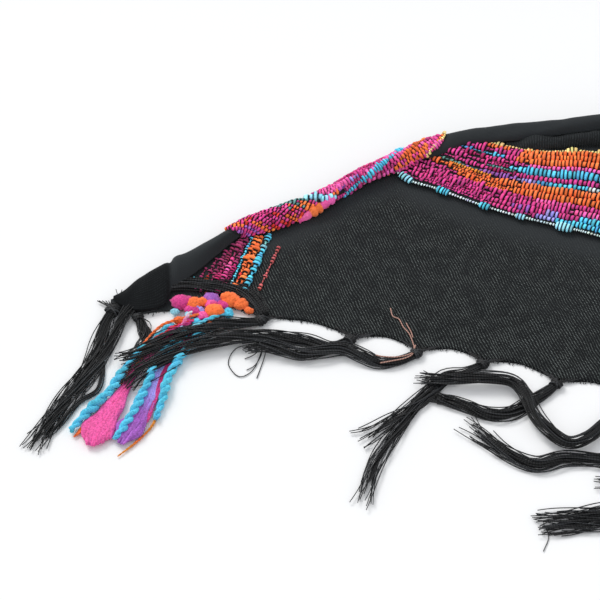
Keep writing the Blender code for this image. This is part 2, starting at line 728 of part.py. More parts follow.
def slub_fringe():
    """The loose ends of the coloured band, which fan out under the black tassels."""
    left, right = np.array(SLUB_LEFT[0]), np.array(SLUB_RIGHT[0])
    facing = np.array((-0.05, -1.0))
    locks = []
    for k in range(SLUB_ENDS):
        share = (k + 0.5) / SLUB_ENDS
        route = []
        for row, (a, b) in enumerate(zip(SLUB_LEFT, SLUB_RIGHT)):
            x, y = np.array(a) + (np.array(b) - np.array(a)) * share
            route.append((x, y - (SLUB_BACKING + 0.2 if row == 0 else 0.0), SLUB_LEVEL))
        locks.append(smooth_route(route, 8)[1:])
    return fringe("slub_fringe", left, right, facing, SLUB_BACKING, SLUB_BACKING_RINGS, locks,
                  (SLUB_WIDTH, SLUB_HEIGHT), slub_yarn())


def far_fringe():
    """The far end's fringe: narrow strips along the cut edge, with tassels of a few locks."""
    first, last = selvage(PATH_END) + 1.0, fold_back(PATH_END) - 1.0
    heading = PATH[-1][2]
    facing = np.array((math.cos(heading), math.sin(heading)))
    width = (last - first) / FAR_STRIPS
    for strip in range(FAR_STRIPS):
        left = first + strip * width + STRIP_MARGIN
        right = left + width - 2.0 * STRIP_MARGIN
        locks = []
        for k in range(FAR_TASSELS):
            for lock in range(FAR_LOCKS):
                share = (k * FAR_LOCKS + lock + 0.5) / (FAR_TASSELS * FAR_LOCKS)
                across = left + (right - left) * share
                route = []
                for step in range(FAR_STEPS + 1):
                    gone = step / FAR_STEPS
                    out = FAR_ROOT + gone * (FAR_LENGTH - FAR_ROOT)
                    drift = FAR_SPREAD * (across - LINE_OF_STRIP) * gone ** 1.5
                    wave = FAR_WAVE * math.sin(1.2 * step + 1.7 * strip) * gone
                    x, y = far_place(out, across + drift + wave)
                    route.append(np.array((x, y, FAR_LEVEL)))
                locks.append(route[1:])
        fringe("far_fringe_%d" % (strip + 1), far_place(SEAM_GAP, left), far_place(SEAM_GAP, right), facing,
               FAR_BACKING, STRIP_RINGS, locks, FAR_LOCK, black_cotton())


def far_place(out, across):
    """A place beyond the cut edge of the far end."""
    x, y, heading = PATH[-1]
    side = across - LINE_OF_STRIP
    return (x + out * math.cos(heading) - side * math.sin(heading),
            y + out * math.sin(heading) + side * math.cos(heading))


def main():
    clear_scene()
    end_panel()
    near_folds()
    near_band()
    gathered_length()
    hidden_layers()
    near_fringe()
    next_tassels()
    slub_fringe()
    far_fringe()


main()
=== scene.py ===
"""The looks of a rebozo laid on a pale floor: black gauze, bands of slub yarn, a knotted fringe.

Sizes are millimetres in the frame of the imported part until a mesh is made. The tables of the
cloth's lie are the ones that the part's own source uses.
"""
import json
import math
from collections import namedtuple

import bpy
import numpy as np
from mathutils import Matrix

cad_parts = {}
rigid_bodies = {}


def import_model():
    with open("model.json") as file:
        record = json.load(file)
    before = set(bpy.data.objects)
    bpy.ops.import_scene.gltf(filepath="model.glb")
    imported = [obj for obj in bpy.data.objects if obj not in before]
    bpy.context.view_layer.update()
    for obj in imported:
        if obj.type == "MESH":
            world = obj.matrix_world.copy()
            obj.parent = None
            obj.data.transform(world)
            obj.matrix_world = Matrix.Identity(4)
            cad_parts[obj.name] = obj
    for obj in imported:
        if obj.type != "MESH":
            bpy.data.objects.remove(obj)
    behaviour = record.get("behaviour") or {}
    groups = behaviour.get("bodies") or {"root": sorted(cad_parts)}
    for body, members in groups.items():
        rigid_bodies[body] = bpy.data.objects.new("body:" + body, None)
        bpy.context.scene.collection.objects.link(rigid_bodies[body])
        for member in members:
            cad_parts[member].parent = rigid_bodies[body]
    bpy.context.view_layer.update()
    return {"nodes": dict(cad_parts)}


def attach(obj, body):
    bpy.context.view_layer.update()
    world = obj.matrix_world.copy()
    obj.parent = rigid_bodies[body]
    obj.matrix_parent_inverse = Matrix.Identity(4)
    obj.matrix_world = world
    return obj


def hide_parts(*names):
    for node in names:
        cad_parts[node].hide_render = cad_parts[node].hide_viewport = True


MM = 0.001
BODY = "root"

# Heights of the flat end and of what lies on it, the line of the gathered length, a shell's thickness.
PANEL_TOP = 1.5
ON_PANEL = 1.8
LINE_OF_STRIP = 74.0
CLOTH = 1.1

# How the gathered length turns over the surface: distance along it, and heading in degrees.
HEADINGS = (
    (165, 0), (250, -6), (350, -1), (460, 5), (560, 16), (620, 42), (690, 76), (760, 110),
    (830, 144), (890, 168), (950, 180), (1060, 184), (1200, 181), (1400, 178), (1640, 180),
)

# The fold along the upper edge: station, foot across, foot height, crest across, crest height,
# back across, back height.
EDGE_FOLD = (
    (-93, -3.2, 1.6, -1.6, 2.2, 0.4, 0.2),
    (-88, -6.6, 1.6, -1.0, 3.4, 4.0, 0.2),
    (-80, -9.4, 1.6, 7.0, 4.6, 12.8, 0.2),
    (-68, -6.6, 1.6, 14.6, 5.8, 21.2, 0.2),
    (-62, 6.6, 1.6, 18.6, 6.2, 25.2, 0.2),
    (-56, 11.8, 1.6, 22.6, 6.2, 29.0, 0.2),
    (-48, 20.0, 1.6, 28.4, 6.2, 35.2, 0.2),
    (-42, 27.0, 1.6, 33.2, 6.2, 39.6, 0.2),
    (-28, 40.6, 0.2, 45.0, 6.2, 50.8, 0.2),
    (-18, 42.8, 0.2, 49.6, 6.2, 55.8, 0.2),
    (0, 51.4, 0.2, 58.2, 6.4, 64.6, 0.2),
    (16, 61.8, 0.2, 66.8, 6.6, 73.0, 0.2),
    (26, 71.6, 0.2, 75.2, 6.8, 81.0, 0.2),
    (41, 81.0, 0.8, 84.4, 7.2, 90.4, 0.2),
    (52, 85.6, 2.0, 90.2, 8.2, 96.4, 0.2),
    (63, 88.4, 5.2, 95.4, 10.0, 102.6, 0.2),
    (74, 91.4, 7.3, 99.4, 11.4, 107.0, 0.2),
    (86, 96.6, 9.1, 102.4, 12.8, 109.6, 0.2),
    (100, 97.4, 10.0, 103.6, 14.2, 111.2, 0.2),
    (115, 98.0, 11.0, 104.6, 15.8, 112.6, 0.2),
    (131, 99.4, 12.4, 105.0, 17.2, 113.4, 0.2),
    (145, 101.4, 13.0, 106.6, 18.2, 115.0, 0.2),
    (165, 103.2, 13.2, 108.6, 19.4, 117.0, 0.2),
    (260, 104.0, 12.6, 112.6, 19.4, 122.0, 7.0),
    (400, 106.0, 12.0, 117.0, 19.0, 128.0, 7.0),
    (1380, 106.0, 12.0, 117.0, 19.0, 128.0, 7.0),
    (1500, 110.0, 8.0, 121.0, 13.0, 132.0, 4.0),
    (1640, 118.0, 2.0, 138.0, 4.2, 158.0, 1.7),
)

# The coloured band: station, selvage, inner border, border height, strip end, strip height,
# second crest, second crest height.
BAND = (
    (45, 86.0, 124.0, 8.6, 130.0, 8.6, 134.0, 9.0),
    (51, 84.0, 122.0, 8.8, 128.0, 8.8, 132.0, 9.2),
    (59, 77.4, 116.4, 9.0, 122.0, 9.0, 126.0, 9.4),
    (69, 73.6, 112.6, 9.2, 116.0, 9.2, 120.0, 9.6),
    (78, 69.0, 108.0, 9.4, 112.0, 9.4, 116.0, 9.8),
    (93, 61.4, 100.8, 9.6, 103.0, 9.8, 106.0, 10.0),
    (102, 57.4, 97.2, 9.8, 97.6, 9.8, 97.7, 9.8),
    (110, 54.2, 94.6, 10.0, 95.6, 10.0, 96.6, 10.4),
    (120, 50.8, 92.0, 10.0, 93.6, 10.2, 96.4, 12.0),
    (134, 46.2, 90.8, 10.2, 93.4, 9.6, 97.2, 13.6),
    (145, 42.6, 91.0, 10.6, 95.0, 9.4, 98.8, 14.6),
    (156, 38.4, 89.4, 10.8, 95.4, 9.4, 99.8, 15.4),
    (165, 35.2, 88.6, 10.8, 95.6, 9.4, 100.2, 15.8),
    (260, 28.0, 84.0, 11.0, 91.0, 10.0, 98.0, 15.4),
    (400, 22.0, 80.0, 11.0, 89.0, 10.0, 98.0, 15.0),
    (1380, 22.0, 80.0, 11.0, 89.0, 10.0, 98.0, 15.0),
    (1500, 14.0, 74.0, 7.0, 88.0, 6.0, 99.0, 9.4),
    (1640, -10.0, 52.0, 1.8, 74.0, 1.7, 96.0, 3.6),
)
# Where each part of the band comes out from under the fold: share across it, and station.
BAND_START = (
    (0.0, 51.0), (0.22, 59.0), (0.42, 68.0), (0.55, 74.0), (0.82, 86.0), (0.93, 93.0), (1.0, 103.0),
)
SELVAGE_HEIGHT = 1.5
BAND_BELLY = 0.16
CORNER_EDGE = 1.6
# Where the gathered length comes down from the flat end to the floor, and over what distance.
STEP_DOWN_AT = 576.0
STEP_DOWN_LENGTH = 36.0
# Shares of the second fold: its flat strip, its rise and its fall.
STRIP_SHARE = 0.3
RISE_SHARE = 0.4
FALL_SHARE = 0.3
# Shares of each fold that make up the one sheet over both: where it starts, and how much of it.
LOW_FOLD = (0.02, 0.91)
HIGH_FOLD = (0.06, 0.94)
# Steps for a surface's slopes, along it and across it.
STATION_STEP = 0.5
SHARE_STEP = 0.004
RIPPLE_WAVES = 7

# The flat end: station, fringed edge, hidden back edge.
END_PANEL = (
    (-94.5, -2.6, -0.6), (-88, -7.0, 2.4), (-82, -9.4, 9.0), (-67, -7.8, 19.0), (-45, -8.4, 34.4),
    (-25, -9.6, 50.4), (2, -17.0, 63.6), (28, -23.6, 80.0), (58, -31.6, 98.0), (91, -38.8, 108.4),
    (126, -51.2, 111.0), (145, -56.6, 112.0), (200, -71.0, 96.0), (260, -86.0, 88.0),
    (330, -98.0, 82.0), (400, -105.0, 82.0), (470, -108.0, 88.0), (548, -106.0, 92.0),
)


def column(table, index):
    """One column of a table, as a smooth function of the first. It takes arrays."""
    at, value = np.array([(row[0], row[index]) for row in table], float).T
    slope = np.diff(value) / np.diff(at)
    inner = np.zeros(len(at))
    inner[0], inner[-1] = slope[0], slope[-1]
    both = slope[:-1] * slope[1:]
    total = np.where(both > 0.0, slope[:-1] + slope[1:], 1.0)
    inner[1:-1] = np.where(both > 0.0, 2.0 * both / total, 0.0)

    def read(where):
        where = np.clip(where, at[0], at[-1])
        i = np.clip(np.searchsorted(at, where, side="right") - 1, 0, len(at) - 2)
        span = at[i + 1] - at[i]
        t = (where - at[i]) / span
        start = (1.0 + 2.0 * t) * (1.0 - t) ** 2 * value[i] + t * (1.0 - t) ** 2 * span * inner[i]
        end = t * t * (3.0 - 2.0 * t) * value[i + 1] + t * t * (t - 1.0) * span * inner[i + 1]
        return start + end

    return read


fold_foot, fold_foot_height, fold_crest, fold_crest_height, fold_back, fold_back_height = (
    column(EDGE_FOLD, i) for i in range(1, 7))
selvage, border, border_height, strip_end, strip_height, second_crest, second_crest_height = (
    column(BAND, i) for i in range(1, 8))
band_start = column(BAND_START, 1)
fringed_edge, panel_back = column(END_PANEL, 1), column(END_PANEL, 2)


def eased(share):
    """A share held between 0 and 1, with a soft start and end."""
    held = np.clip(share, 0.0, 1.0)
    return held * held * (3.0 - 2.0 * held)


def walk_path():
    """Points and headings of the gathered length, 1 mm apart."""
    at = np.array([row[0] for row in HEADINGS], float)
    run = np.arange(at[0], at[-1] + 1.0)
    heading = np.interp(run, at, np.radians([row[1] for row in HEADINGS]))
    x = at[0] + np.concatenate([[0.0], np.cumsum(np.cos(heading[:-1]))])
    y = LINE_OF_STRIP + np.concatenate([[0.0], np.cumsum(np.sin(heading[:-1]))])
    return run, x, y, heading


RUN, PATH_X, PATH_Y, PATH_HEADING = walk_path()


def place(station, across, height):
    """The point of the gathered length at a station, a distance across and a height."""
    station, across, height = np.broadcast_arrays(station, across, height)
    heading = np.interp(station, RUN, PATH_HEADING)
    x = np.where(station <= RUN[0], station, np.interp(station, RUN, PATH_X))
    y = np.interp(station, RUN, PATH_Y)
    side = across - LINE_OF_STRIP
    base = ON_PANEL * (1.0 - eased((station - STEP_DOWN_AT) / STEP_DOWN_LENGTH))
    return np.stack([x - side * np.sin(heading), y + side * np.cos(heading), base + height], axis=-1)


def quarter(start, end, share, rising):
    """A point on a quarter of an ellipse: upright at its start if rising, else at its end."""
    angle = share * math.pi / 2.0
    if rising:
        along, up = 1.0 - np.cos(angle), np.sin(angle)
    else:
        along, up = np.sin(angle), 1.0 - np.cos(angle)
    return start[0] + (end[0] - start[0]) * along, start[1] + (end[1] - start[1]) * up


def either(choice, one, other):
    """Of two pairs of arrays, the first where the choice holds."""
    return np.where(choice, one[0], other[0]), np.where(choice, one[1], other[1])


def edge_fold(station, share):
    """The fold on the upper edge: from its foot (0) over its crest (0.5) to its back (1)."""
    foot = (fold_foot(station), fold_foot_height(station))
    crest = (fold_crest(station), fold_crest_height(station))
    back = (fold_back(station), fold_back_height(station))
    rise = quarter(foot, crest, np.minimum(share * 2.0, 1.0), True)
    fall = quarter(crest, back, np.maximum(share * 2.0 - 1.0, 0.0), False)
    return either(share <= 0.5, rise, fall)


def corner(station, share):
    """The folded-back corner: a sheet that rises from its front edge to the fold's crest."""
    along = np.minimum(share * 2.0, 1.0)
    across = fold_foot(station) + (fold_crest(station) - fold_foot(station)) * along
    rise = fold_crest_height(station) - CORNER_EDGE
    front = (across, CORNER_EDGE + rise * np.sin(along * math.pi / 2.0))
    return either(share <= 0.5, front, edge_fold(station, share))


def band(station, share):
    """The coloured band: from its selvage (0) to its inner border (1)."""
    across = selvage(station) + (border(station) - selvage(station)) * share
    rise = border_height(station) - SELVAGE_HEIGHT
    belly = BAND_BELLY * rise * np.sin(math.pi * np.clip(share, 0.0, 1.0))
    return across, SELVAGE_HEIGHT + rise * share + belly


def second_fold(station, share):
    """The black ground beyond the band, and the second fold up to the groove behind it."""
    start = (border(station), border_height(station))
    strip = (strip_end(station), strip_height(station))
    crest = (second_crest(station), second_crest_height(station))
    groove = (fold_foot(station), fold_foot_height(station))
    t = np.clip(share / STRIP_SHARE, 0.0, 1.0)
    flat = (start[0] + (strip[0] - start[0]) * t, start[1] + (strip[1] - start[1]) * t)
    fall_at = STRIP_SHARE + RISE_SHARE
    rise = quarter(strip, crest, np.clip((share - STRIP_SHARE) / RISE_SHARE, 0.0, 1.0), True)
    fall = quarter(crest, groove, np.clip((share - fall_at) / FALL_SHARE, 0.0, 1.0), False)
    return either(share <= STRIP_SHARE, flat, either(share <= fall_at, rise, fall))


def both_folds(station, share):
    """The second fold and the edge fold as one sheet, with a round groove between them."""
    low = second_fold(station, LOW_FOLD[0] + np.minimum(share, 0.5) * 2.0 * LOW_FOLD[1])
    high = edge_fold(station, HIGH_FOLD[0] + (np.maximum(share, 0.5) - 0.5) * 2.0 * HIGH_FOLD[1])
    return either(share < 0.5, low, high)


def unit(vectors):
    """Vectors of length 1."""
    return vectors / np.maximum(np.linalg.norm(vectors, axis=-1, keepdims=True), 1e-9)


def on(point, station, share):
    """Points of a surface and its unit normals there."""
    def spot(ahead, aside):
        return place(station + ahead, *point(station + ahead, share + aside))

    along = spot(STATION_STEP, 0.0) - spot(-STATION_STEP, 0.0)
    over = spot(0.0, SHARE_STEP) - spot(0.0, -SHARE_STEP)
    return spot(0.0, 0.0), unit(np.cross(along, over))


def ripple(a, b, seed, size):
    """Soft uneven relief between about -1 and 1, from a few crossing waves."""
    rng = np.random.default_rng(seed)
    total = 0.0
    for _ in range(RIPPLE_WAVES):
        turn = rng.uniform(0.0, math.pi)
        pace = 2.0 * math.pi / (size * rng.uniform(0.6, 1.7))
        total = total + np.sin(pace * (a * math.cos(turn) + b * math.sin(turn)) + rng.uniform(0.0, 6.3))
    return 2.0 * total / RIPPLE_WAVES


# Part of a mesh: its points in millimetres, its faces, a UV place for each corner, a tint for each point.
Part = namedtuple("Part", "points quads uvs tints")


def paint(rgb):
    """A display colour as the linear one that a mesh or a material holds."""
    c = np.array(rgb, float) / 255.0
    return np.where(c <= 0.04045, c / 12.92, ((c + 0.055) / 1.055) ** 2.4)


def tube(path, up, half_width, half_height, sides, tints, along_uv):
    """A closed tube on a path. Its half sizes, tints and UV places are one for each point."""
    count = len(path)
    along = unit(np.gradient(path, axis=0))
    side = unit(np.cross(np.broadcast_to(up, path.shape), along))
    over = np.cross(along, side)
    turn = 2.0 * math.pi * (np.arange(sides) + 0.5) / sides
    wide = np.broadcast_to(half_width, count)[:, None, None]
    high = np.broadcast_to(half_height, count)[:, None, None]
    ring = path[:, None] + side[:, None] * np.cos(turn)[None, :, None] * wide
    ring = ring + over[:, None] * np.sin(turn)[None, :, None] * high
    k = np.arange(sides)
    first = np.stack([k, (k + 1) % sides, (k + 1) % sides + sides, k + sides], axis=1)
    quads = (first[None] + (np.arange(count - 1) * sides)[:, None, None]).reshape(-1, 4)
    u = np.asarray(along_uv, float)
    v = k / sides
    next_v = v + 1.0 / sides
    corner_u = np.stack([u[:-1], u[:-1], u[1:], u[1:]], axis=1)[:, None, :].repeat(sides, axis=1)
    corner_v = np.stack([v, next_v, next_v, v], axis=1)[None].repeat(count - 1, axis=0)
    uvs = np.stack([corner_u, corner_v], axis=-1).reshape(-1, 4, 2)
    fan = np.array([(0, 2 * j + 1, 2 * j + 2, 2 * j + 3) for j in range(sides // 2 - 1)])
    caps = np.concatenate([fan[:, ::-1], fan + (count - 1) * sides])
    cap_u = np.concatenate([np.full(len(fan), u[0]), np.full(len(fan), u[-1])])
    cap_uvs = np.stack([cap_u[:, None].repeat(4, axis=1), np.full((len(caps), 4), 0.5)], axis=-1)
    colours = np.broadcast_to(tints, (count, 3))[:, None].repeat(sides, axis=1).reshape(-1, 3)
    return Part(ring.reshape(-1, 3), np.concatenate([quads, caps]), np.concatenate([uvs, cap_uvs]), colours)


def wall(top, bottom, u, v, openness):
    """A closed cloth between two grids of the same size, with UV in millimetres."""
    rows, cols = top.shape[:2]
    points = np.concatenate([top.reshape(-1, 3), bottom.reshape(-1, 3)])
    index = np.arange(rows * cols).reshape(rows, cols)
    under = index + rows * cols
    corners = (
        (index[:-1, :-1], index[1:, :-1], index[1:, 1:], index[:-1, 1:]),
        (under[:-1, :-1], under[:-1, 1:], under[1:, 1:], under[1:, :-1]),
        (index[:-1, 0], under[:-1, 0], under[1:, 0], index[1:, 0]),
        (index[:-1, -1], index[1:, -1], under[1:, -1], under[:-1, -1]),
        (index[0, :-1], index[0, 1:], under[0, 1:], under[0, :-1]),
        (index[-1, :-1], under[-1, :-1], under[-1, 1:], index[-1, 1:]),
    )
    quads = np.concatenate([np.stack(four, axis=-1).reshape(-1, 4) for four in corners])
    flat = np.stack([np.broadcast_to(u, (rows, cols)), np.broadcast_to(v, (rows, cols))], axis=-1)
    uvs = np.concatenate([flat.reshape(-1, 2), flat.reshape(-1, 2)])[quads]
    shade = np.broadcast_to(openness, (rows, cols)).reshape(-1, 1).repeat(3, axis=1)
    return Part(points, quads, uvs, np.concatenate([shade, shade]))


def make(name, parts, finish, replaced=()):
    """One mesh object from its parts, with a UV map and a tint at each point."""
    starts = np.cumsum([0] + [len(p.points) for p in parts])
    points = np.concatenate([p.points for p in parts]) * MM
    quads = np.concatenate([p.quads + start for p, start in zip(parts, starts)])
    mesh = bpy.data.meshes.new(name)
    mesh.from_pydata(points.tolist(), [], quads.tolist())
    layer = mesh.uv_layers.new(name="lie")
    layer.data.foreach_set("uv", np.concatenate([p.uvs for p in parts]).ravel())
    tint = mesh.color_attributes.new("tint", "FLOAT_COLOR", "POINT")
    colours = np.concatenate([p.tints for p in parts])
    tint.data.foreach_set("color", np.hstack([colours, np.ones((len(colours), 1))]).ravel())
    mesh.materials.append(finish)
    mesh.shade_smooth()
    piece = bpy.data.objects.new(name, mesh)
    bpy.context.scene.collection.objects.link(piece)
    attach(piece, BODY)
    if replaced:
        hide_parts(*replaced)
    return piece


# The yarns' colours as they look on a display.
YARN = {
    "black": (16, 16, 18), "magenta": (216, 70, 142), "pink": (250, 100, 172), "orange": (255, 122, 66),
    "red": (214, 58, 52), "aqua": (92, 204, 238), "purple": (168, 100, 192), "lavender": (160, 150, 226),
    "white_blue": (216, 236, 238), "yellow": (250, 222, 146), "copper": (184, 142, 128),
    "dark_magenta": (172, 42, 98), "blue": (84, 158, 216), "grey_aqua": (96, 142, 140),
    "gold": (226, 142, 54),
    "pale_aqua": (150, 218, 238), "rose": (206, 100, 102), "wine": (156, 54, 98),
}
TINT = {name: paint(rgb) for name, rgb in YARN.items()}


def new_finish(name, roughness, sheen, specular):
    """A Principled material with its constant values on its own sockets."""
    made = bpy.data.materials.new(name)
    made.use_nodes = True
    shader = made.node_tree.nodes["Principled BSDF"]
    shader.inputs["Roughness"].default_value = roughness
    shader.inputs["Sheen Weight"].default_value = sheen
    shader.inputs["Sheen Roughness"].default_value = 0.5
    shader.inputs["Specular IOR Level"].default_value = specular
    return made, made.node_tree, shader


def node(tree, kind, inputs, **settings):
    """A node with its settings, and its inputs set to values or linked to outputs."""
    made = tree.nodes.new(kind)
    for key, value in settings.items():
        setattr(made, key, value)
    for socket, value in inputs.items():
        if isinstance(value, bpy.types.NodeSocket):
            tree.links.new(value, made.inputs[socket])
        else:
            made.inputs[socket].default_value = value
    return made


def calc(tree, operation, *values):
    """A number worked out from values or linked outputs."""
    return node(tree, "ShaderNodeMath", dict(enumerate(values)), operation=operation).outputs[0]


def ramp(tree, value, low, high, out_low=0.0, out_high=1.0):
    """A smooth step of a value from one range to another."""
    inputs = {"Value": value, "From Min": low, "From Max": high, "To Min": out_low, "To Max": out_high}
    return node(tree, "ShaderNodeMapRange", inputs, interpolation_type="SMOOTHSTEP").outputs["Result"]


def blend_of(tree, share, one, other):
    """A mix of two colours."""
    return node(tree, "ShaderNodeMix", {0: share, 6: one, 7: other}, data_type="RGBA").outputs[2]


def noise(tree, where, scale, detail, output="Fac"):
    """Soft uneven values over a place."""
    return node(tree, "ShaderNodeTexNoise", {"Vector": where, "Scale": scale,
                                             "Detail": detail}).outputs[output]


def lie_map(tree):
    """The place along and across a cloth or a yarn, from its own UV map."""
    return node(tree, "ShaderNodeUVMap", {}, uv_map="lie").outputs[0]


def object_place(tree):
    """The place in the part's frame, in metres."""
    return node(tree, "ShaderNodeTexCoord", {}).outputs["Object"]


def along_and_across(tree, where):
    """The two numbers of a UV place."""
    split = node(tree, "ShaderNodeSeparateXYZ", {"Vector": where})
    return split.outputs["X"], split.outputs["Y"]


def tint_of(tree, output="Color"):
    """The tint that the mesh holds at each point."""
    return node(tree, "ShaderNodeAttribute", {}, attribute_name="tint").outputs[output]


def brighter(tree, colour, value):
    """A colour made lighter or darker by a value."""
    return node(tree, "ShaderNodeHueSaturation", {"Color": colour, "Value": value}).outputs[0]


def cover(tree, shader, colour, height, distance, strength=1.0):
    """The finish's colour, and its fine relief."""
    relief = node(tree, "ShaderNodeBump", {"Height": height, "Distance": distance, "Strength": strength})
    tree.links.new(colour, shader.inputs["Base Color"])
    tree.links.new(relief.outputs["Normal"], shader.inputs["Normal"])


# Noise over the cloth's UV map in millimetres: wandering threads, open patches, uneven holes.
DRIFT_SCALE = 0.06
PATCH_SCALE = 0.13
UNEVEN_SCALE = 0.9
DRIFT_REACH = 3.0


def gauze(name, warp, weft, weft_share, hole, raised):
    """Plain-woven gauze: threads both ways, and light holes where the tint says it is open."""
    made, tree, shader = new_finish(name, 0.8, 0.04, 0.1)
    lie = lie_map(tree)
    drift = noise(tree, lie, DRIFT_SCALE, 2.0, "Color")
    moved = node(tree, "ShaderNodeVectorMath", {0: drift, 1: (DRIFT_REACH, DRIFT_REACH, 0.0), 2: lie},
                 operation="MULTIPLY_ADD").outputs[0]
    across_warp, across_weft = (
        calc(tree, "COSINE", calc(tree, "MULTIPLY", way, 2.0 * math.pi / pitch))
        for way, pitch in zip(along_and_across(tree, moved), (warp, weft)))
    total = calc(tree, "MULTIPLY_ADD", across_weft, weft_share, across_warp)
    holes = ramp(tree, total, 0.25, 1.0 + 0.8 * weft_share)
    tint = tint_of(tree, "Fac")
    patch = noise(tree, lie, PATCH_SCALE, 3.0)
    uneven = noise(tree, lie, UNEVEN_SCALE, 2.0)
    patchy = calc(tree, "MULTIPLY", tint, ramp(tree, patch, 0.35, 0.65, 0.45, 1.15))
    open_here = calc(tree, "MULTIPLY", patchy, ramp(tree, uneven, 0.35, 0.65, 0.2, 1.3))
    # The tint also darkens the base colour: the open gauze of the flat end is darker, and the folded
    # corner's darker margin is painted shade.
    cloth_share = ramp(tree, calc(tree, "MULTIPLY_ADD", patch, 0.5, tint), 0.2, 1.5)
    base = blend_of(tree, cloth_share, (*CLOTH_CLOSED, 1.0), (*CLOTH_OPEN, 1.0))
    colour = blend_of(tree, calc(tree, "MULTIPLY", holes, open_here), base, (*hole, 1.0))
    cover(tree, shader, colour, calc(tree, "SUBTRACT", 1.0, ramp(tree, total, -2.0, 2.0)), raised)
    return made


def slub_finish():
    """Soft slub yarn held down at every whole step of its UV by a black thread, with painted shade on each
    bead.
    """
    made, tree, shader = new_finish("slub_yarn", 0.8, 0.08, 0.1)
    along, around = along_and_across(tree, lie_map(tree))
    leaning = calc(tree, "MULTIPLY_ADD", around, 0.5, along)
    away = calc(tree, "ABSOLUTE", calc(tree, "SUBTRACT", calc(tree, "FRACT", leaning), 0.5))
    fibres = noise(tree, object_place(tree), 900.0, 3.0)
    mottled = ramp(tree, fibres, 0.3, 0.7, 0.82, 1.18)
    # Painted shade: each bead is drawn brighter at its middle and darker towards the black ties, for its
    # roundness.
    value = calc(tree, "MULTIPLY", mottled, ramp(tree, away, 0.08, 0.36, 1.34, 0.74))
    tied = ramp(tree, away, 0.33, 0.4)
    colour = blend_of(tree, tied, brighter(tree, tint_of(tree), value), (*TINT["black"], 1.0))
    cover(tree, shader, colour, fibres, 0.0002, 0.7)
    return made


def loose_finish():
    """Loose yarn of the fringe: fibres and no black threads over it."""
    made, tree, shader = new_finish("loose_yarn", 0.85, 0.15, 0.08)
    fibres = noise(tree, object_place(tree), 1100.0, 3.0)
    colour = brighter(tree, tint_of(tree), ramp(tree, fibres, 0.25, 0.75, 0.7, 1.25))
    cover(tree, shader, colour, fibres, 0.0003, 0.8)
    return made


def thread_finish():
    """Black cotton thread, twisted fine, with painted shade and highlight along its twist."""
    made, tree, shader = new_finish("black_thread", 0.45, 0.03, 0.32)
    along, around = along_and_across(tree, lie_map(tree))
    turned = calc(tree, "MULTIPLY_ADD", along, 0.9, around)
    twist = calc(tree, "SINE", calc(tree, "MULTIPLY", turned, 2.0 * math.pi))
    # Painted shade and highlight: the thread is drawn darker in the grooves of its twist and lighter on the
    # crests between them.
    colour = brighter(tree, tint_of(tree), ramp(tree, twist, -1.0, 1.0, 0.7, 1.3))
    cover(tree, shader, colour, twist, 0.00006)
    return made


def felt_layers():
    """The hidden layers: the same black cotton, read by place because they have no UV map."""
    made, tree, shader = new_finish("black_layers", 0.85, 0.04, 0.1)
    threads = noise(tree, object_place(tree), 700.0, 2.0)
    colour = blend_of(tree, ramp(tree, threads, 0.3, 0.7), (*CLOTH_OPEN, 1.0), (*CLOTH_CLOSED, 1.0))
    cover(tree, shader, colour, threads, 0.0003)
    return made


# Black cotton where it is open and where it is closed, and what shows through its holes.
CLOTH_OPEN = tuple(paint((15, 17, 19)))
CLOTH_CLOSED = tuple(paint((47, 50, 52)))
HOLE = tuple(paint((104, 110, 108)))
FAINT_HOLE = tuple(paint((34, 37, 39)))
GAUZE = gauze("black_gauze", 1.35, 0.9, 0.7, HOLE, 0.0002)
FOLD_CLOTH = gauze("folded_gauze", 0.8, 0.8, 1.0, FAINT_HOLE, 0.00012)
# The ribbed fold's stripes follow its ribs; their light grey is painted highlight on the ribs.
RIBBED = gauze("ribbed_gauze", 1.3, 1.3, 0.0, tuple(paint((74, 78, 80))), 0.001)
SLUB = slub_finish()
LOOSE = loose_finish()
THREAD = thread_finish()
LAYERS = felt_layers()

# The end of the near cloth, and shares across each shell.
NEAR_END = 165.0
CORNER_SHARES = np.linspace(0.0, 1.0, 41)
FOLD_SHARES = np.linspace(0.03, 1.0, 40)
TUBE_SHARES = np.linspace(0.02, 0.92, 44)
BAND_SHARES = np.linspace(0.0, 0.984, 40)
LONG_BAND_SHARES = np.linspace(0.0, 0.984, 14)
LONG_FOLD_SHARES = np.linspace(0.0, 1.0, 48)


def straight(station):
    """An end of a stretch cut straight across."""
    return lambda share: station + 0.0 * share


def lie_of(point, ends, spacing, shares):
    """A fine grid on one stretch of the cloth: its points, normals, stations and shares."""
    start, end = ends
    length = float(end(0.5) - start(0.5))
    count = max(4, int(round(length / spacing)) + 1)
    share = np.asarray(shares, float)[None, :]
    station = start(share) + (end(share) - start(share)) * np.linspace(0.0, 1.0, count)[:, None]
    share = np.broadcast_to(share, station.shape)
    points, normals = on(point, station, share)
    return points, normals, station, share


def along_path(points):
    """Distance along a path at each of its points."""
    return np.concatenate([[0.0], np.cumsum(np.linalg.norm(np.diff(points, axis=0), axis=1))])


def sunk(depth):
    """A ground that lies a little lower, under the yarns on it."""
    return lambda station, share: 0.0 * station - depth


def cloth(name, nodes, point, ends, spacing, shares, relief, openness, finish):
    """A cloth wall on its solid's form, with soft relief."""
    points, normals, station, share = lie_of(point, ends, spacing, shares)
    top = points + normals * relief(station, share)[..., None]
    bottom = points - normals * CLOTH
    open_here = openness(station, share) if callable(openness) else openness
    across = along_path(points[len(points) // 2])
    part = wall(top, bottom, station, across[None, :], open_here)
    piece = make(name, [part], finish, nodes)
    return piece


def crease(station, share, line, width, depth):
    """A soft trough (or ridge, if depth is negative) along a line of (station, share) points."""
    stations, shares = zip(*line)
    middle = np.interp(share, shares, stations)
    inside = (share >= min(shares)) & (share <= max(shares))
    return np.where(inside, -depth * np.exp(-((station - middle) / width) ** 2), 0.0)


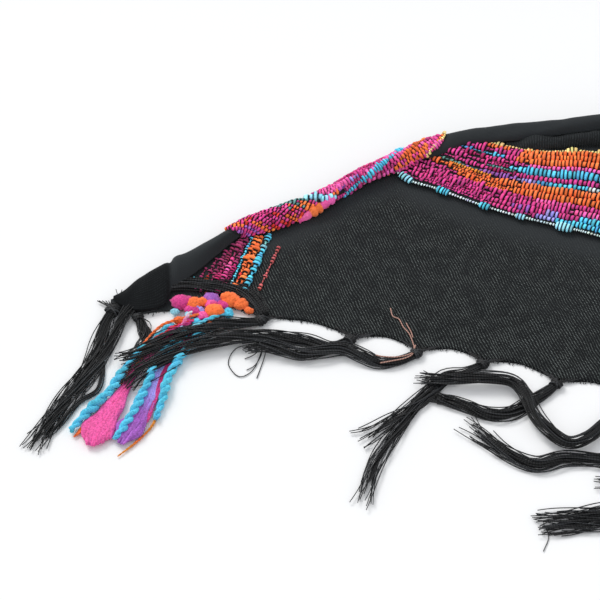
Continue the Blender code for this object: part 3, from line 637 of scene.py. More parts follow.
# Creases of the folded corner: (station, share) points of the line, width, depth (less than 0 for a ridge).
CORNER_CREASES = (
    (((-63.5, 0.0), (-66.5, 1.0)), 1.2, 1.3),
    (((-60.5, 0.0), (-62.5, 1.0)), 2.2, -0.6),
    (((-84.0, 0.0), (-78.0, 1.0)), 3.0, 0.4),
)
# The margin of the folded corner: where it starts, how it slants, how it fades, and how open it is, which
# also darkens it as painted shade.
MARGIN_AT = -63.0
MARGIN_SLANT = 3.0
MARGIN_FADE = 2.5
MARGIN_OPEN_AND_SHADED = 1.3
# The second fold hangs over here: height, station and length.
OVERHANG = (2.4, 123.0, 6.0)


def corner_relief(station, share):
    """The folded corner: its creases, and a slightly uneven surface."""
    creases = sum(crease(station, share, *row) for row in CORNER_CREASES)
    return creases + 0.1 * ripple(station, share * 20.0, 3, 16.0)


def corner_open_and_shaded(station, share):
    """The margin beyond the crease is one thin layer and the facet beside it is folded twice; the margin is
    drawn darker, as painted shade on its side turned from the light.
    """
    return MARGIN_OPEN_AND_SHADED * np.clip((MARGIN_AT - MARGIN_SLANT * share - station) / MARGIN_FADE, 0.0, 1.0)


def ridge_relief(station, share):
    """The top fold: long soft creases that follow it."""
    across = share * 30.0
    return 0.14 * ripple(station * 0.22, across, 11, 10.0) + 0.14 * ripple(station, across, 12, 15.0)


def tube_relief(station, share):
    """The second fold: one place that hangs over, and soft dents across it."""
    height, middle, length = OVERHANG
    overhang = height * np.exp(-((station - middle) / length) ** 2)
    return overhang + 0.2 * ripple(station, share * 22.0, 21, 9.0)


def long_relief(station, share):
    """The long folds: pleats that wander, and soft dents."""
    across = share * 40.0
    pleats = 0.3 * np.sin(2.0 * math.pi * share * 9.0 + 2.0 * np.sin(station / 60.0))
    return pleats + 0.4 * ripple(station * 0.2, across, 31, 10.0) + 0.15 * ripple(station, across, 32, 16.0)


# The fringed edge is drawn up between the knots, and at the loose slubs: depth, place, length.
SCALLOP = 3.2
SLUB_NOTCH = (5.5, -42.0, 13.0)
# The flat end's grid: spacing where it shows, where the coarser part starts, its steps, steps across.
PANEL_SPACING = 2.4
COARSE_FROM = 200.0
COARSE_STEPS = 60
PANEL_SHARES = np.linspace(0.0, 1.0, 61)
PANEL_SETTLED = 0.25
PANEL_UNDERSIDE = 0.12
# A soft ridge on the flat end: places along and across it, its height and its width.
SOFT_LINE = ((40.0, 66.0, 92.0, 118.0), (36.0, 33.0, 22.0, 8.0))
SOFT_LINE_HEIGHT = 0.5
SOFT_LINE_WIDTH = 2.2
WEAVE_TURN = math.radians(20.0)
# How open the gauze is beside the band, and how much more towards the fringed edge.
OPEN_LEAST = 0.12
OPEN_EDGE = 0.35


def drawn_up(x):
    """How far the fringed edge is drawn up at a place along it."""
    between = np.sin(math.pi * np.interp(x, KNOTS_AT, np.arange(len(KNOTS_AT)))) ** 2
    depth, middle, length = SLUB_NOTCH
    return SCALLOP * between * (x > KNOTS_AT[2]) + depth * np.exp(-((x - middle) / length) ** 2)


def panel_openness(x, y, front):
    """The flat end's gauze is dense beside the fold and the band, and most open at its fringed edge."""
    edge = np.where(x < BAND_START[0][1], fold_foot(x), selvage(x))
    beside = OPEN_LEAST + (1.0 - OPEN_LEAST) * eased((edge - y - 3.0) / 22.0)
    towards = np.clip(1.0 - (y - front) / 45.0, 0.0, 1.0) * np.clip(x / 60.0, 0.0, 1.0)
    return beside + OPEN_EDGE * towards


def under_layer():
    """The flat end: a single layer of open gauze, denser beside the band that lies on it."""
    first, last = END_PANEL[0][0], END_PANEL[-1][0]
    near = np.arange(first, COARSE_FROM, PANEL_SPACING)
    station = np.concatenate([near, np.linspace(COARSE_FROM, last, COARSE_STEPS)])[:, None]
    share = PANEL_SHARES[None, :]
    front, back = fringed_edge(station) + drawn_up(station), panel_back(station)
    x = station + 0.0 * share
    y = front + (back - front) * share
    line = np.exp(-((y - np.interp(x, *SOFT_LINE)) / SOFT_LINE_WIDTH) ** 2)
    lift = 0.22 * ripple(x, y, 5, 34.0) + 0.08 * ripple(x, y, 6, 12.0)
    lift = lift + SOFT_LINE_HEIGHT * line * np.clip((x - SOFT_LINE[0][0]) / 12.0, 0.0, 1.0)
    calm = np.minimum(1.0, 8.0 * np.minimum(share, 1.0 - share) + 0.2)
    top = np.stack([x, y, PANEL_TOP - PANEL_SETTLED + lift * calm], axis=-1)
    bottom = np.stack([x, y, PANEL_UNDERSIDE + 0.0 * x], axis=-1)
    u = x * math.cos(WEAVE_TURN) + y * math.sin(WEAVE_TURN)
    v = y * math.cos(WEAVE_TURN) - x * math.sin(WEAVE_TURN)
    part = wall(top, bottom, u, v, panel_openness(x, y, front))
    piece = make("under_layer", [part], GAUZE, ["end_panel"])


def corner_end(share):
    """Where the folded corner meets the rolled band."""
    return -29.6 - 12.0 * share


def roll_end(share):
    """Where the rolled band meets the top fold."""
    return 65.0 + 11.0 * share


def near_cloth():
    """The folded corner, the grounds under the coloured yarns, and the two folds of the near end."""
    end = straight(NEAR_END)
    cloth("turned_edge", ["turned_corner"], corner, (straight(-93.0), lambda u: corner_end(u) - 0.3), 1.2,
          CORNER_SHARES, corner_relief, corner_open_and_shaded, FOLD_CLOTH)
    cloth("rolled_ground", ["rolled_band"], edge_fold, (corner_end, roll_end), 1.6, FOLD_SHARES,
          sunk(0.25), 0.0, FOLD_CLOTH)
    cloth("top_ridge", ["top_fold"], edge_fold, (lambda u: roll_end(u) + 0.5, end), 1.4, FOLD_SHARES,
          ridge_relief, 0.0, FOLD_CLOTH)
    cloth("second_ridge", ["second_fold"], second_fold, (straight(108.0), end), 0.9, TUBE_SHARES,
          tube_relief, 0.5, RIBBED)
    cloth("band_ground", ["band_panel"], band, (lambda u: band_start(u) + 0.6, end), 1.6, BAND_SHARES,
          sunk(0.3), 0.0, FOLD_CLOTH)


# The stretches of the gathered length beyond the near end: name, and where it ends.
STRETCHES = (("out", 595.0), ("turn_1", 775.0), ("turn_2", 985.0), ("back", 1450.0), ("far", 1640.0))


def long_cloth():
    """The ground of the band and the folds behind it, in each stretch."""
    first = RUN[0]
    for name, last in STRETCHES:
        ends = (straight(first + 0.02), straight(last))
        cloth("band_ground_" + name, ["band_" + name], band, ends, 6.0, LONG_BAND_SHARES, sunk(0.3), 0.0,
              FOLD_CLOTH)
        cloth("ridges_" + name, ["folds_" + name], both_folds, ends, 4.6, LONG_FOLD_SHARES, long_relief,
              0.12, FOLD_CLOTH)
        first = last


def resample(points, at):
    """Points at given distances along a path."""
    run = along_path(points)
    return np.stack([np.interp(at, run, points[:, k]) for k in range(3)], axis=1)


def smooth_route(points, spacing):
    """Points evenly apart on a smooth curve through the given ones."""
    knots = np.array(points, float)
    ends = np.vstack([2 * knots[0] - knots[1], knots, 2 * knots[-1] - knots[-2]])
    t = np.linspace(0.0, 1.0, 12, endpoint=False)[:, None]
    fine = []
    for i in range(1, len(ends) - 2):
        a, b, c, d = ends[i - 1:i + 3]
        fine.append(0.5 * (2 * b + (c - a) * t + (2 * a - 5 * b + 4 * c - d) * t ** 2
                           + (3 * b - a - 3 * c + d) * t ** 3))
    fine = np.vstack([*fine, knots[-1:]])
    length = along_path(fine)[-1]
    return resample(fine, np.linspace(0.0, length, max(3, int(length / spacing) + 1)))


# How a dyed bead's brightness and hue vary.
SHADES = (0.66, 1.25)
HUE_DRIFT = 0.06


def dyed(stops, at, rng, jitter):
    """Space-dyed colours at places along a yarn, from (place, colour) stops, each bead its own shade."""
    places = np.array([p for p, _ in stops], float)
    index = np.searchsorted(places, at + rng.normal(0.0, jitter, len(at)), side="right") - 1
    colours = np.array([TINT[name] for _, name in stops])[np.clip(index, 0, len(stops) - 1)]
    shade = rng.uniform(*SHADES, (len(at), 1)) * (1.0 + rng.normal(0.0, HUE_DRIFT, (len(at), 3)))
    return np.clip(colours * shade, 0.0, 1.0)


# A bead that hides under the black threads has this share of its size.
SUNKEN_SIZE = 0.32
BEAD_LENGTHS = (0.72, 1.32)
# Rings of one bead: share along it, and share of its thickness.
BEAD_RINGS = ((0.0, 0.54), (0.22, 0.92), (0.5, 1.0), (0.78, 0.92))
COARSE_RINGS = ((0.0, 0.66), (0.35, 1.0), (0.65, 1.0))
SLUB_RINGS = ((0.0, 0.8), (0.25, 0.96), (0.5, 1.0), (0.75, 0.96))
DOT_RINGS = ((0.0, 0.3), (0.3, 1.0), (0.7, 1.0))
FAR_DOT_RINGS = ((0.0, 0.5), (0.5, 1.0))
UNTIED_PLACE = 0.25


def slub_row(path, up, thick, stops, at, bead, seed, sides, rings, uneven=0.12, flat=0.8, jitter=1.5,
             tied=True, sunken=None):
    """A slub yarn that black threads tie down at every bead.

    thick is one value for each path point, and at is the place of each point in the colour stops.
    """
    rng = np.random.default_rng(seed)
    run = along_path(path)
    steps = rng.uniform(*BEAD_LENGTHS, max(2, int(round(run[-1] / bead))))
    edges = np.concatenate([[0.0], np.cumsum(steps)])
    edges *= run[-1] / edges[-1]
    beads = len(steps)
    share, size = np.array(rings).T
    where = np.append((edges[:-1, None] + np.diff(edges)[:, None] * share[None]).ravel(), run[-1])
    middle = np.interp(0.5 * (edges[:-1] + edges[1:]), run, at)
    spread = uneven(middle)[:, None] if callable(uneven) else uneven
    grown = np.exp(spread * rng.normal(0.0, 1.0, (beads, 1)).clip(-1.6, 2.0))
    if sunken is not None:
        hidden = rng.random((beads, 1)) < sunken(middle)[:, None]
        grown = np.where(hidden, SUNKEN_SIZE, grown)
    profile = np.append((size[None] * np.where(share[None] > 0.0, grown, 1.0)).ravel(), size[0])
    colours = dyed(stops, middle, rng, jitter)
    tints = np.vstack([np.repeat(colours, len(share), axis=0), colours[-1:]])
    centre = resample(path, where)
    over = unit(np.stack([np.interp(where, run, up[:, k]) for k in range(3)], axis=1))
    half = 0.5 * np.interp(where, run, thick) * profile
    centre[:, 2] = np.maximum(centre[:, 2], half * flat + 0.15)
    steps_uv = np.append((np.arange(beads)[:, None] + share[None]).ravel(), float(beads))
    if not tied:
        steps_uv = 0.0 * steps_uv + UNTIED_PLACE
    return tube(centre, over, half, half * flat, sides, tints, steps_uv)


def laid_row(point, station, share, lift, thick, stops, at, *rest, **more):
    """A slub row laid on a form along stations and shares, raised by the lift."""
    points, normals = on(point, station, share + 0.0 * station)
    return slub_row(points + normals * lift, normals, thick + 0.0 * station, stops, at, *rest, **more)


def by_station(table):
    """A value that changes over stations, from a table of stations and one of values."""
    return lambda station: np.interp(station, *table)


# The rows of the band: share across at the left, share at the right, ((station, thickness), ...),
# and ((station, colour), ...) up to the end of the near part, then ((length, colour), ...) repeated.
BAND_ROWS = (
    (0.07, 0.062, ((51, 1.8), (110, 2.4), (165, 3.0)), ((0, "magenta"), (120, "lavender"), (132, "aqua")),
     ((60, "aqua"), (20, "lavender"), (24, "purple"), (40, "magenta"))),
    (0.14, 0.128, ((51, 3.0), (110, 3.6), (115, 5.4), (120, 4.0)),
     ((0, "magenta"), (110, "purple"), (117, "magenta"), (126, "lavender"), (134, "magenta"),
      (146, "aqua")),
     ((70, "aqua"), (30, "blue"), (24, "purple"), (60, "magenta"))),
    (0.21, 0.2, ((51, 3.4), (120, 4.2)), ((0, "magenta"), (140, "pink"), (152, "magenta")),
     ((90, "magenta"), (40, "pink"), (30, "purple"), (60, "magenta"))),
    (0.275, 0.268, ((51, 3.0), (165, 3.4)),
     ((0, "magenta"), (124, "pink"), (140, "magenta"), (158, "red")),
     ((40, "red"), (80, "magenta"), (30, "purple"))),
    (0.345, 0.34, ((51, 3.4), (92, 3.2), (94, 1.7), (103, 1.8), (110, 4.6)),
     ((0, "magenta"), (84, "orange")),
     ((130, "orange"), (50, "magenta"), (20, "red"))),
    (0.43, 0.432, ((51, 2.4), (70, 3.2), (78, 3.0), (82, 1.7), (101, 1.8), (107, 4.8)),
     ((0, "magenta"), (70, "orange")),
     ((110, "orange"), (40, "red"), (50, "magenta"))),
    (0.5, 0.51, ((51, 1.1), (90, 1.3), (96, 3.4), (112, 4.2), (125, 2.8), (165, 2.6)),
     ((0, "grey_aqua"), (92, "purple"), (112, "lavender"), (124, "blue"), (132, "aqua"),
      (150, "white_blue")),
     ((50, "white_blue"), (60, "aqua"), (30, "lavender"))),
    (0.57, 0.575, ((51, 3.0), (165, 3.0)), ((0, "magenta"), (96, "dark_magenta"), (112, "magenta")),
     ((80, "magenta"), (40, "dark_magenta"))),
    (0.66, 0.665, ((51, 3.2), (101, 3.0), (103, 1.4), (109, 1.4), (112, 4.4), (120, 5.2)),
     ((0, "magenta"), (104, "dark_magenta"), (110, "aqua")),
     ((160, "aqua"), (30, "blue"), (50, "purple"), (40, "aqua"))),
    (0.74, 0.748, ((51, 3.2), (108, 2.6)), ((0, "magenta"), (84, "dark_magenta"), (98, "magenta"),
                                            (120, "pink")),
     ((90, "pink"), (60, "magenta"))),
    (0.8, 0.822, ((51, 1.2), (88, 1.4), (98, 2.0), (103, 2.2), (112, 4.2)),
     ((0, "grey_aqua"), (86, "blue"), (94, "aqua"), (104, "magenta"), (112, "orange")),
     ((150, "orange"), (40, "magenta"), (60, "orange"), (30, "red"))),
    (0.87, 0.895, ((51, 3.2), (112, 4.2)), ((0, "magenta"), (86, "magenta"), (108, "magenta"),
                                            (115, "orange")),
     ((120, "orange"), (30, "yellow"), (50, "magenta"))),
    (0.95, 0.958, ((51, 2.6), (112, 2.6), (120, 3.4)),
     ((0, "orange"), (92, "magenta"), (95, "orange"), (108, "magenta"), (116, "orange")),
     ((150, "orange"), (50, "red"), (40, "magenta"))),
)
# Fine rows between the others: share, first and last station, thickness, colour.
FILLING_ROWS = (
    (0.305, 90, 108, 1.5, "orange"), (0.39, 80, 107, 1.6, "orange"), (0.47, 78, 100, 1.6, "gold"),
    (0.62, 96, 112, 1.3, "grey_aqua"), (0.69, 100, 110, 1.3, "dark_magenta"),
    (0.24, 70, 96, 1.4, "magenta"),
    (0.105, 62, 100, 1.4, "magenta"), (0.175, 64, 100, 1.4, "dark_magenta"),
)
NEAR_BEAD = 2.15
LIFT = 0.35
PAST_END = NEAR_END + 0.6
# Where the near rows go over from their place at the left to that at the right.
SPREAD_FROM = 85.0
SPREAD_OVER = 25.0
# The near rows as stations and values: their width, how uneven the beads are, how many are sunken.
ROW_WIDTH = ((98.0, 118.0), (0.82, 1.0))
ROW_UNEVEN = ((92.0, 116.0), (0.42, 0.17))
ROW_SUNKEN = ((95.0, 125.0), (0.26, 0.03))
# The far rows: spacing of points, width for the near one, the band's usual width, offset of repeats.
FAR_SPACING = 3.0
FAR_WIDTH = 1.1
USUAL_BAND = 53.0
REPEAT_SHIFT = 7.0
# The borders of the far rows: share, colour and number.
FAR_BORDERS = ((0.0, "white_blue", 14), (1.0, "yellow", 15))


def cycled(pieces, first, last):
    """Stops from a repeat of (length, colour) pieces, between two stations."""
    stops, at = [], first
    while at < last:
        for length, name in pieces:
            stops.append((at, name))
            at += length
    return stops


def near_rows():
    """The band's rows where they show, each starting where it comes out from under the fold."""
    parts = []
    for k, (left, right, thick, stops, _) in enumerate(BAND_ROWS):
        station = np.arange(float(band_start(left)) - 1.0, PAST_END, 0.8)
        share = left + (right - left) * np.clip((station - SPREAD_FROM) / SPREAD_OVER, 0.0, 1.0)
        width = np.interp(station, *zip(*thick)) * np.interp(station, *ROW_WIDTH)
        parts.append(laid_row(band, station, share, LIFT, width, stops, station, NEAR_BEAD, 40 + k, 8,
                              BEAD_RINGS, by_station(ROW_UNEVEN), sunken=by_station(ROW_SUNKEN)))
    for k, (share, first, last, thick, colour) in enumerate(FILLING_ROWS):
        station = np.arange(first, last, 0.6)
        parts.append(laid_row(band, station, share, LIFT, thick, ((0, colour),), station, 1.5, 70 + k, 6,
                              BEAD_RINGS, 0.2))
    make("slub_rows", parts, SLUB)


def far_rows():
    """The same rows along the rest of the length, a piece for each stretch, with fewer faces."""
    first = RUN[0]
    for number, (name, last) in enumerate(STRETCHES):
        parts = []
        seed = 90 + 20 * number
        station = np.linspace(first + 0.3, last, max(4, int((last - first) / FAR_SPACING)))
        spread = FAR_WIDTH * (border(station) - selvage(station)) / USUAL_BAND
        for k, (_, share, thick, _, repeat) in enumerate(BAND_ROWS):
            stops = cycled(repeat, RUN[0] - REPEAT_SHIFT * k, last)
            parts.append(laid_row(band, station, share, LIFT, thick[-1][1] * spread, stops, station,
                                  NEAR_BEAD, seed + k, 4, COARSE_RINGS, 0.14, 0.8, 2.5))
        for share, colour, k in FAR_BORDERS:
            parts.append(laid_row(band, station, share, 0.1, 1.2, ((0.0, colour),), station, 1.9, seed + k,
                                  4, FAR_DOT_RINGS, 0.1, 0.8))
        make("slub_rows_" + name, parts, SLUB)
        first = last


# The dotted borders: share, colour of the dots, and (station, length, thickness, colour) of each slub.
BORDER_SLUBS = (
    (0.0, "white_blue", ((52.5, 6.4, 5.0, "pale_aqua"), (71.0, 6.5, 4.6, "aqua"), (92.5, 6.0, 4.0, "aqua"),
     (111.0, 5.0, 3.6, "pale_aqua"), (131.0, 9.0, 5.6, "pale_aqua"))),
    (1.0, "yellow", ((103.0, 4.6, 3.4, "yellow"), (118.5, 4.0, 4.8, "yellow"), (139.0, 6.5, 4.2, "yellow"),
     (155.0, 6.0, 4.6, "yellow"))),
)
DOT = 1.5
SLUB_TIP = 0.3


def borders():
    """The band's two borders: fine dots, with a thick slub here and there."""
    parts = []
    for share, dots, slubs in BORDER_SLUBS:
        station = np.arange(float(band_start(share)) - 3.0, PAST_END, 0.5)
        parts.append(laid_row(band, station, share, 0.35, 1.2, ((0.0, dots),), station, DOT,
                              61 + int(share), 6, DOT_RINGS, 0.15, 0.9))
        for k, (at, length, thick, colour) in enumerate(slubs):
            station = np.arange(at, at + length, 0.4)
            shape = np.sin(np.linspace(SLUB_TIP, math.pi - SLUB_TIP, len(station))) ** 0.35
            parts.append(laid_row(band, station, share, 0.5, thick * shape, ((0.0, colour),), station, 1.9,
                                  65 + k, 8, BEAD_RINGS, 0.08, 0.6))
    make("dotted_borders", parts, SLUB)


# Rows of the rolled band: thickness, bead, ((station, share), ...), ((share of the row, colour), ...).
ROLL_ROWS = (
    (4.4, 2.8, ((2, 0.62), (8, 0.5), (12, 0.4)), ((0, "pale_aqua"),)),
    (4.4, 2.8, ((10.5, 0.38), (14, 0.3), (18.5, 0.2)), ((0, "pale_aqua"),)),
    (5.0, 4.8, ((-1, 0.04), (4, 0.1), (9, 0.15), (13, 0.19), (17, 0.23)),
     ((0, "pink"), (0.34, "orange"), (0.66, "pink"))),
    (3.2, 2.2, ((15, 0.33), (22, 0.36), (30, 0.43)), ((0, "orange"), (0.3, "purple"), (0.6, "lavender"))),
    (2.8, 2.1, ((10, 0.52), (24, 0.5), (36, 0.55), (53, 0.74)),
     ((0, "pink"), (0.3, "magenta"), (0.6, "dark_magenta"))),
    (2.8, 2.2, ((14, 0.43), (24, 0.43), (36, 0.48), (46, 0.6), (54, 0.72)),
     ((0, "pink"), (0.3, "magenta"), (0.7, "pink"))),
    (3.0, 2.2, ((16, 0.2), (20, 0.13), (24, 0.07)), ((0, "magenta"),)),
    (2.6, 2.2, ((6, 0.72), (26, 0.7), (40, 0.76), (50, 0.86)), ((0, "magenta"), (0.5, "pink"))),
    (2.6, 2.0, ((8, 0.62), (26, 0.6), (38, 0.65), (52, 0.82)),
     ((0, "pink"), (0.3, "dark_magenta"), (0.6, "magenta"))),
    (2.8, 2.2, ((24, 0.3), (30, 0.38), (37, 0.46), (42, 0.54), (48, 0.68)),
     ((0, "dark_magenta"), (0.5, "magenta"))),
    (2.8, 2.2, ((23, 0.22), (29, 0.3), (36, 0.39), (42, 0.5), (48, 0.63)), ((0, "magenta"), (0.4, "pink"))),
    (3.8, 2.1, ((22, 0.04), (28, 0.14), (36, 0.29), (42, 0.43), (48, 0.58), (55, 0.74)), ((0, "aqua"),)),
    (3.8, 3.2, ((25, 0.0), (31, 0.1), (40, 0.11), (49, 0.12)), ((0, "magenta"), (0.3, "pink"))),
    (2.8, 2.4, ((29, 0.13), (36, 0.18), (42, 0.2)), ((0, "dark_magenta"),)),
    (3.2, 2.5, ((34, 0.2), (42, 0.29), (49, 0.42), (56, 0.6), (62, 0.76)), ((0, "magenta"), (0.5, "pink"))),
    (3.0, 2.3, ((42, 0.17), (48, 0.25), (54, 0.4), (61, 0.6), (66, 0.76)),
     ((0, "magenta"), (0.4, "orange"))),
    (3.2, 2.6, ((45, 0.04), (51, 0.15), (58, 0.34), (65, 0.54), (69, 0.72)),
     ((0, "orange"), (0.3, "magenta"), (0.4, "orange"), (0.62, "pink"), (0.8, "magenta"))),
    (2.8, 2.2, ((48, 0.02), (54, 0.12), (61, 0.29), (67, 0.46), (71, 0.64)),
     ((0, "magenta"), (0.2, "orange"), (0.45, "magenta"), (0.6, "orange"), (0.8, "pink"))),
    (3.2, 2.6, ((51, 0.03), (57, 0.13), (63, 0.26), (69, 0.41), (73, 0.6)),
     ((0, "pink"), (0.22, "orange"), (0.7, "magenta"))),
    (2.6, 2.2, ((55, 0.03), (61, 0.15), (67, 0.3), (73, 0.47), (75, 0.6)),
     ((0, "magenta"), (0.3, "orange"), (0.5, "pink"), (0.8, "orange"))),
    (2.6, 2.0, ((59, 0.04), (64, 0.16), (70, 0.31), (75, 0.46)), ((0, "magenta"), (0.6, "pink"))),
    (1.5, 1.5, ((67.5, 0.24), (71, 0.36), (76, 0.52), (76, 0.8)), ((0, "yellow"),)),
    (2.8, 2.0, ((65.6, 0.14), (68.5, 0.24)), ((0, "yellow"),)),
)
# The small rows at the left of the rolled band run the other way, back to front.
SMALL_ROWS = (
    ("orange", "orange", "orange", "orange"), ("orange", "orange", "red", "orange"),
    ("orange", "orange", "magenta", "orange"), ("orange", "magenta", "purple", "orange"),
    ("magenta", "orange", "magenta", "magenta"), ("orange", "orange", "magenta", "purple"),
    ("orange", "magenta", "magenta", "magenta"), ("magenta", "orange", "orange", "purple"),
    ("orange", "red", "magenta", "magenta"), ("magenta", "magenta", "orange", "orange"),
    ("magenta", "red", "magenta", "orange"), ("dark_magenta", "magenta", "magenta", "red"),
    ("magenta", "magenta", "dark_magenta", "magenta"), ("magenta", "dark_magenta", "magenta", "red"),
    ("magenta", "magenta", "red", "magenta"), ("pink", "magenta", "magenta", "orange"),
    ("magenta", "dark_magenta", "magenta", "orange"), ("grey_aqua", "magenta", "pink", "red"),
    ("grey_aqua", "magenta", "orange", "magenta"), ("grey_aqua", "grey_aqua", "orange", "orange"),
    ("grey_aqua", "magenta", "orange", "orange"), ("grey_aqua", "grey_aqua", "magenta", "orange"),
)
# Where the first small row starts, how far apart they are, how far each leans, and its shares.
SMALL_FIRST = -58.0
SMALL_PITCH = 2.5
SMALL_LEAN = 20.0
SMALL_SHARES = (0.86, 0.82)
SMALL_STOPS = (0.0, 0.3, 0.5, 0.75)
# A share across the roll as millimetres; rows with beads this long are loose slubs.
ROLL_ACROSS = 30.0
LONG_BEAD = 4.0


def rolled_rows():
    """The slub yarns of the rolled band: small rows at its left, then the longer ones."""
    parts = []
    t = np.linspace(0.0, 1.0, 40)
    share = SMALL_SHARES[0] - SMALL_SHARES[1] * t
    for k, names in enumerate(SMALL_ROWS):
        station = SMALL_FIRST + SMALL_PITCH * k + SMALL_LEAN * t
        keep = (station > corner_end(share) + 1.0) & (share > 0.03)
        if keep.sum() < 4:
            continue
        stops = list(zip(SMALL_STOPS, names))
        parts.append(laid_row(edge_fold, station[keep], share[keep], LIFT, 2.0, stops, t[keep], 1.8,
                              200 + k, 8, BEAD_RINGS, 0.22, 0.8, 0.15))
    for k, (thick, bead, line, stops) in enumerate(ROLL_ROWS):
        route = smooth_route([(s, u * ROLL_ACROSS, 0.0) for s, u in line], 0.6)
        station, across = route[:, 0], np.clip(route[:, 1] / ROLL_ACROSS, 0.01, 0.98)
        tied = bead < LONG_BEAD
        lift = LIFT * (1.3 if thick > 2.0 else 3.0)
        parts.append(laid_row(edge_fold, station, across, lift, thick * 0.94, stops,
                              np.linspace(0.0, 1.0, len(station)), bead * 0.85, 240 + k, 8,
                              BEAD_RINGS if tied else SLUB_RINGS, 0.24, 0.8, 0.04, tied))
    make("rolled_slubs", parts, SLUB)


# Rows woven into the flat end: thickness, bead, first and last point, ((share of the row, colour), ...).
STRIPES = (
    (1.9, 2.2, (-10.6, 34.0), (-20.6, 5.0), ((0, "rose"), (0.4, "orange"), (0.45, "rose"))),
    (3.3, 2.4, (-15.0, 44.0), (-28.0, 4.0), ((0, "aqua"), (0.2, "pale_aqua"), (0.3, "aqua"))),
    (3.0, 2.8, (-18.6, 44.0), (-31.4, 3.0), ((0, "orange"),)),
    (2.7, 2.4, (-21.2, 43.0), (-34.0, 3.0), ((0, "orange"), (0.7, "red"), (0.8, "orange"))),
    (1.6, 1.9, (-23.6, 43.0), (-36.4, 3.0), ((0, "aqua"), (0.8, "pale_aqua"))),
    (2.2, 2.0, (-26.2, 42.0), (-39.0, 3.0), ((0, "wine"), (0.5, "dark_magenta"), (0.8, "pink"))),
    (3.0, 2.8, (-29.0, 41.0), (-41.8, 3.0), ((0, "wine"), (0.35, "magenta"), (0.5, "pink"),
                                             (0.65, "magenta"))),
    (2.2, 2.1, (-31.8, 41.0), (-44.6, 3.0), ((0, "wine"), (0.6, "dark_magenta"), (0.8, "purple"))),
    (2.2, 2.2, (-34.4, 40.0), (-47.2, 3.0), ((0, "wine"), (0.7, "magenta"), (0.85, "orange"))),
    (1.8, 2.0, (-37.0, 40.0), (-50.0, 4.0), ((0, "wine"), (0.75, "red"), (0.84, "orange"),
                                             (0.9, "magenta"))),
    (1.7, 2.0, (-39.6, 40.0), (-53.0, 5.0), ((0, "wine"), (0.82, "orange"), (0.92, "pink"))),
    (1.8, 2.2, (-42.4, 40.0), (-56.0, 6.0), ((0, "aqua"), (0.95, "blue"))),
)
# The share of the woven rows' beads that is sunken, and the direction away from the floor.
STRIPE_SUNKEN = 0.12
UP = np.array((0.0, 0.0, 1.0))


def stripes():
    """The same band where it is woven into the flat end, up to the corner that is folded over it."""
    parts = []
    t = np.linspace(0.0, 1.0, 60)
    for k, (thick, bead, first, last, stops) in enumerate(STRIPES):
        x = first[0] + (last[0] - first[0]) * t
        y = first[1] + (last[1] - first[1]) * t
        keep = y < fold_foot(x) - 0.9
        if keep.sum() < 6:
            continue
        path = np.stack([x, y, PANEL_TOP + LIFT + 0.0 * x], axis=1)[keep]
        parts.append(slub_row(path, np.broadcast_to(UP, path.shape), thick + 0.0 * t[keep], stops, t[keep],
                              bead * 0.9, 300 + k, 8, BEAD_RINGS, 0.34, 0.8, 0.05,
                              sunken=lambda place_in_row: STRIPE_SUNKEN + 0.0 * place_in_row))
    make("woven_stripes", parts, SLUB)


# A knot's length and width, and the heights of a tassel that lies on the floor or over another one.
KNOT_LENGTH = 4.6
KNOT_WIDTH = 7.4
LOW = 1.35
OVER = 4.1
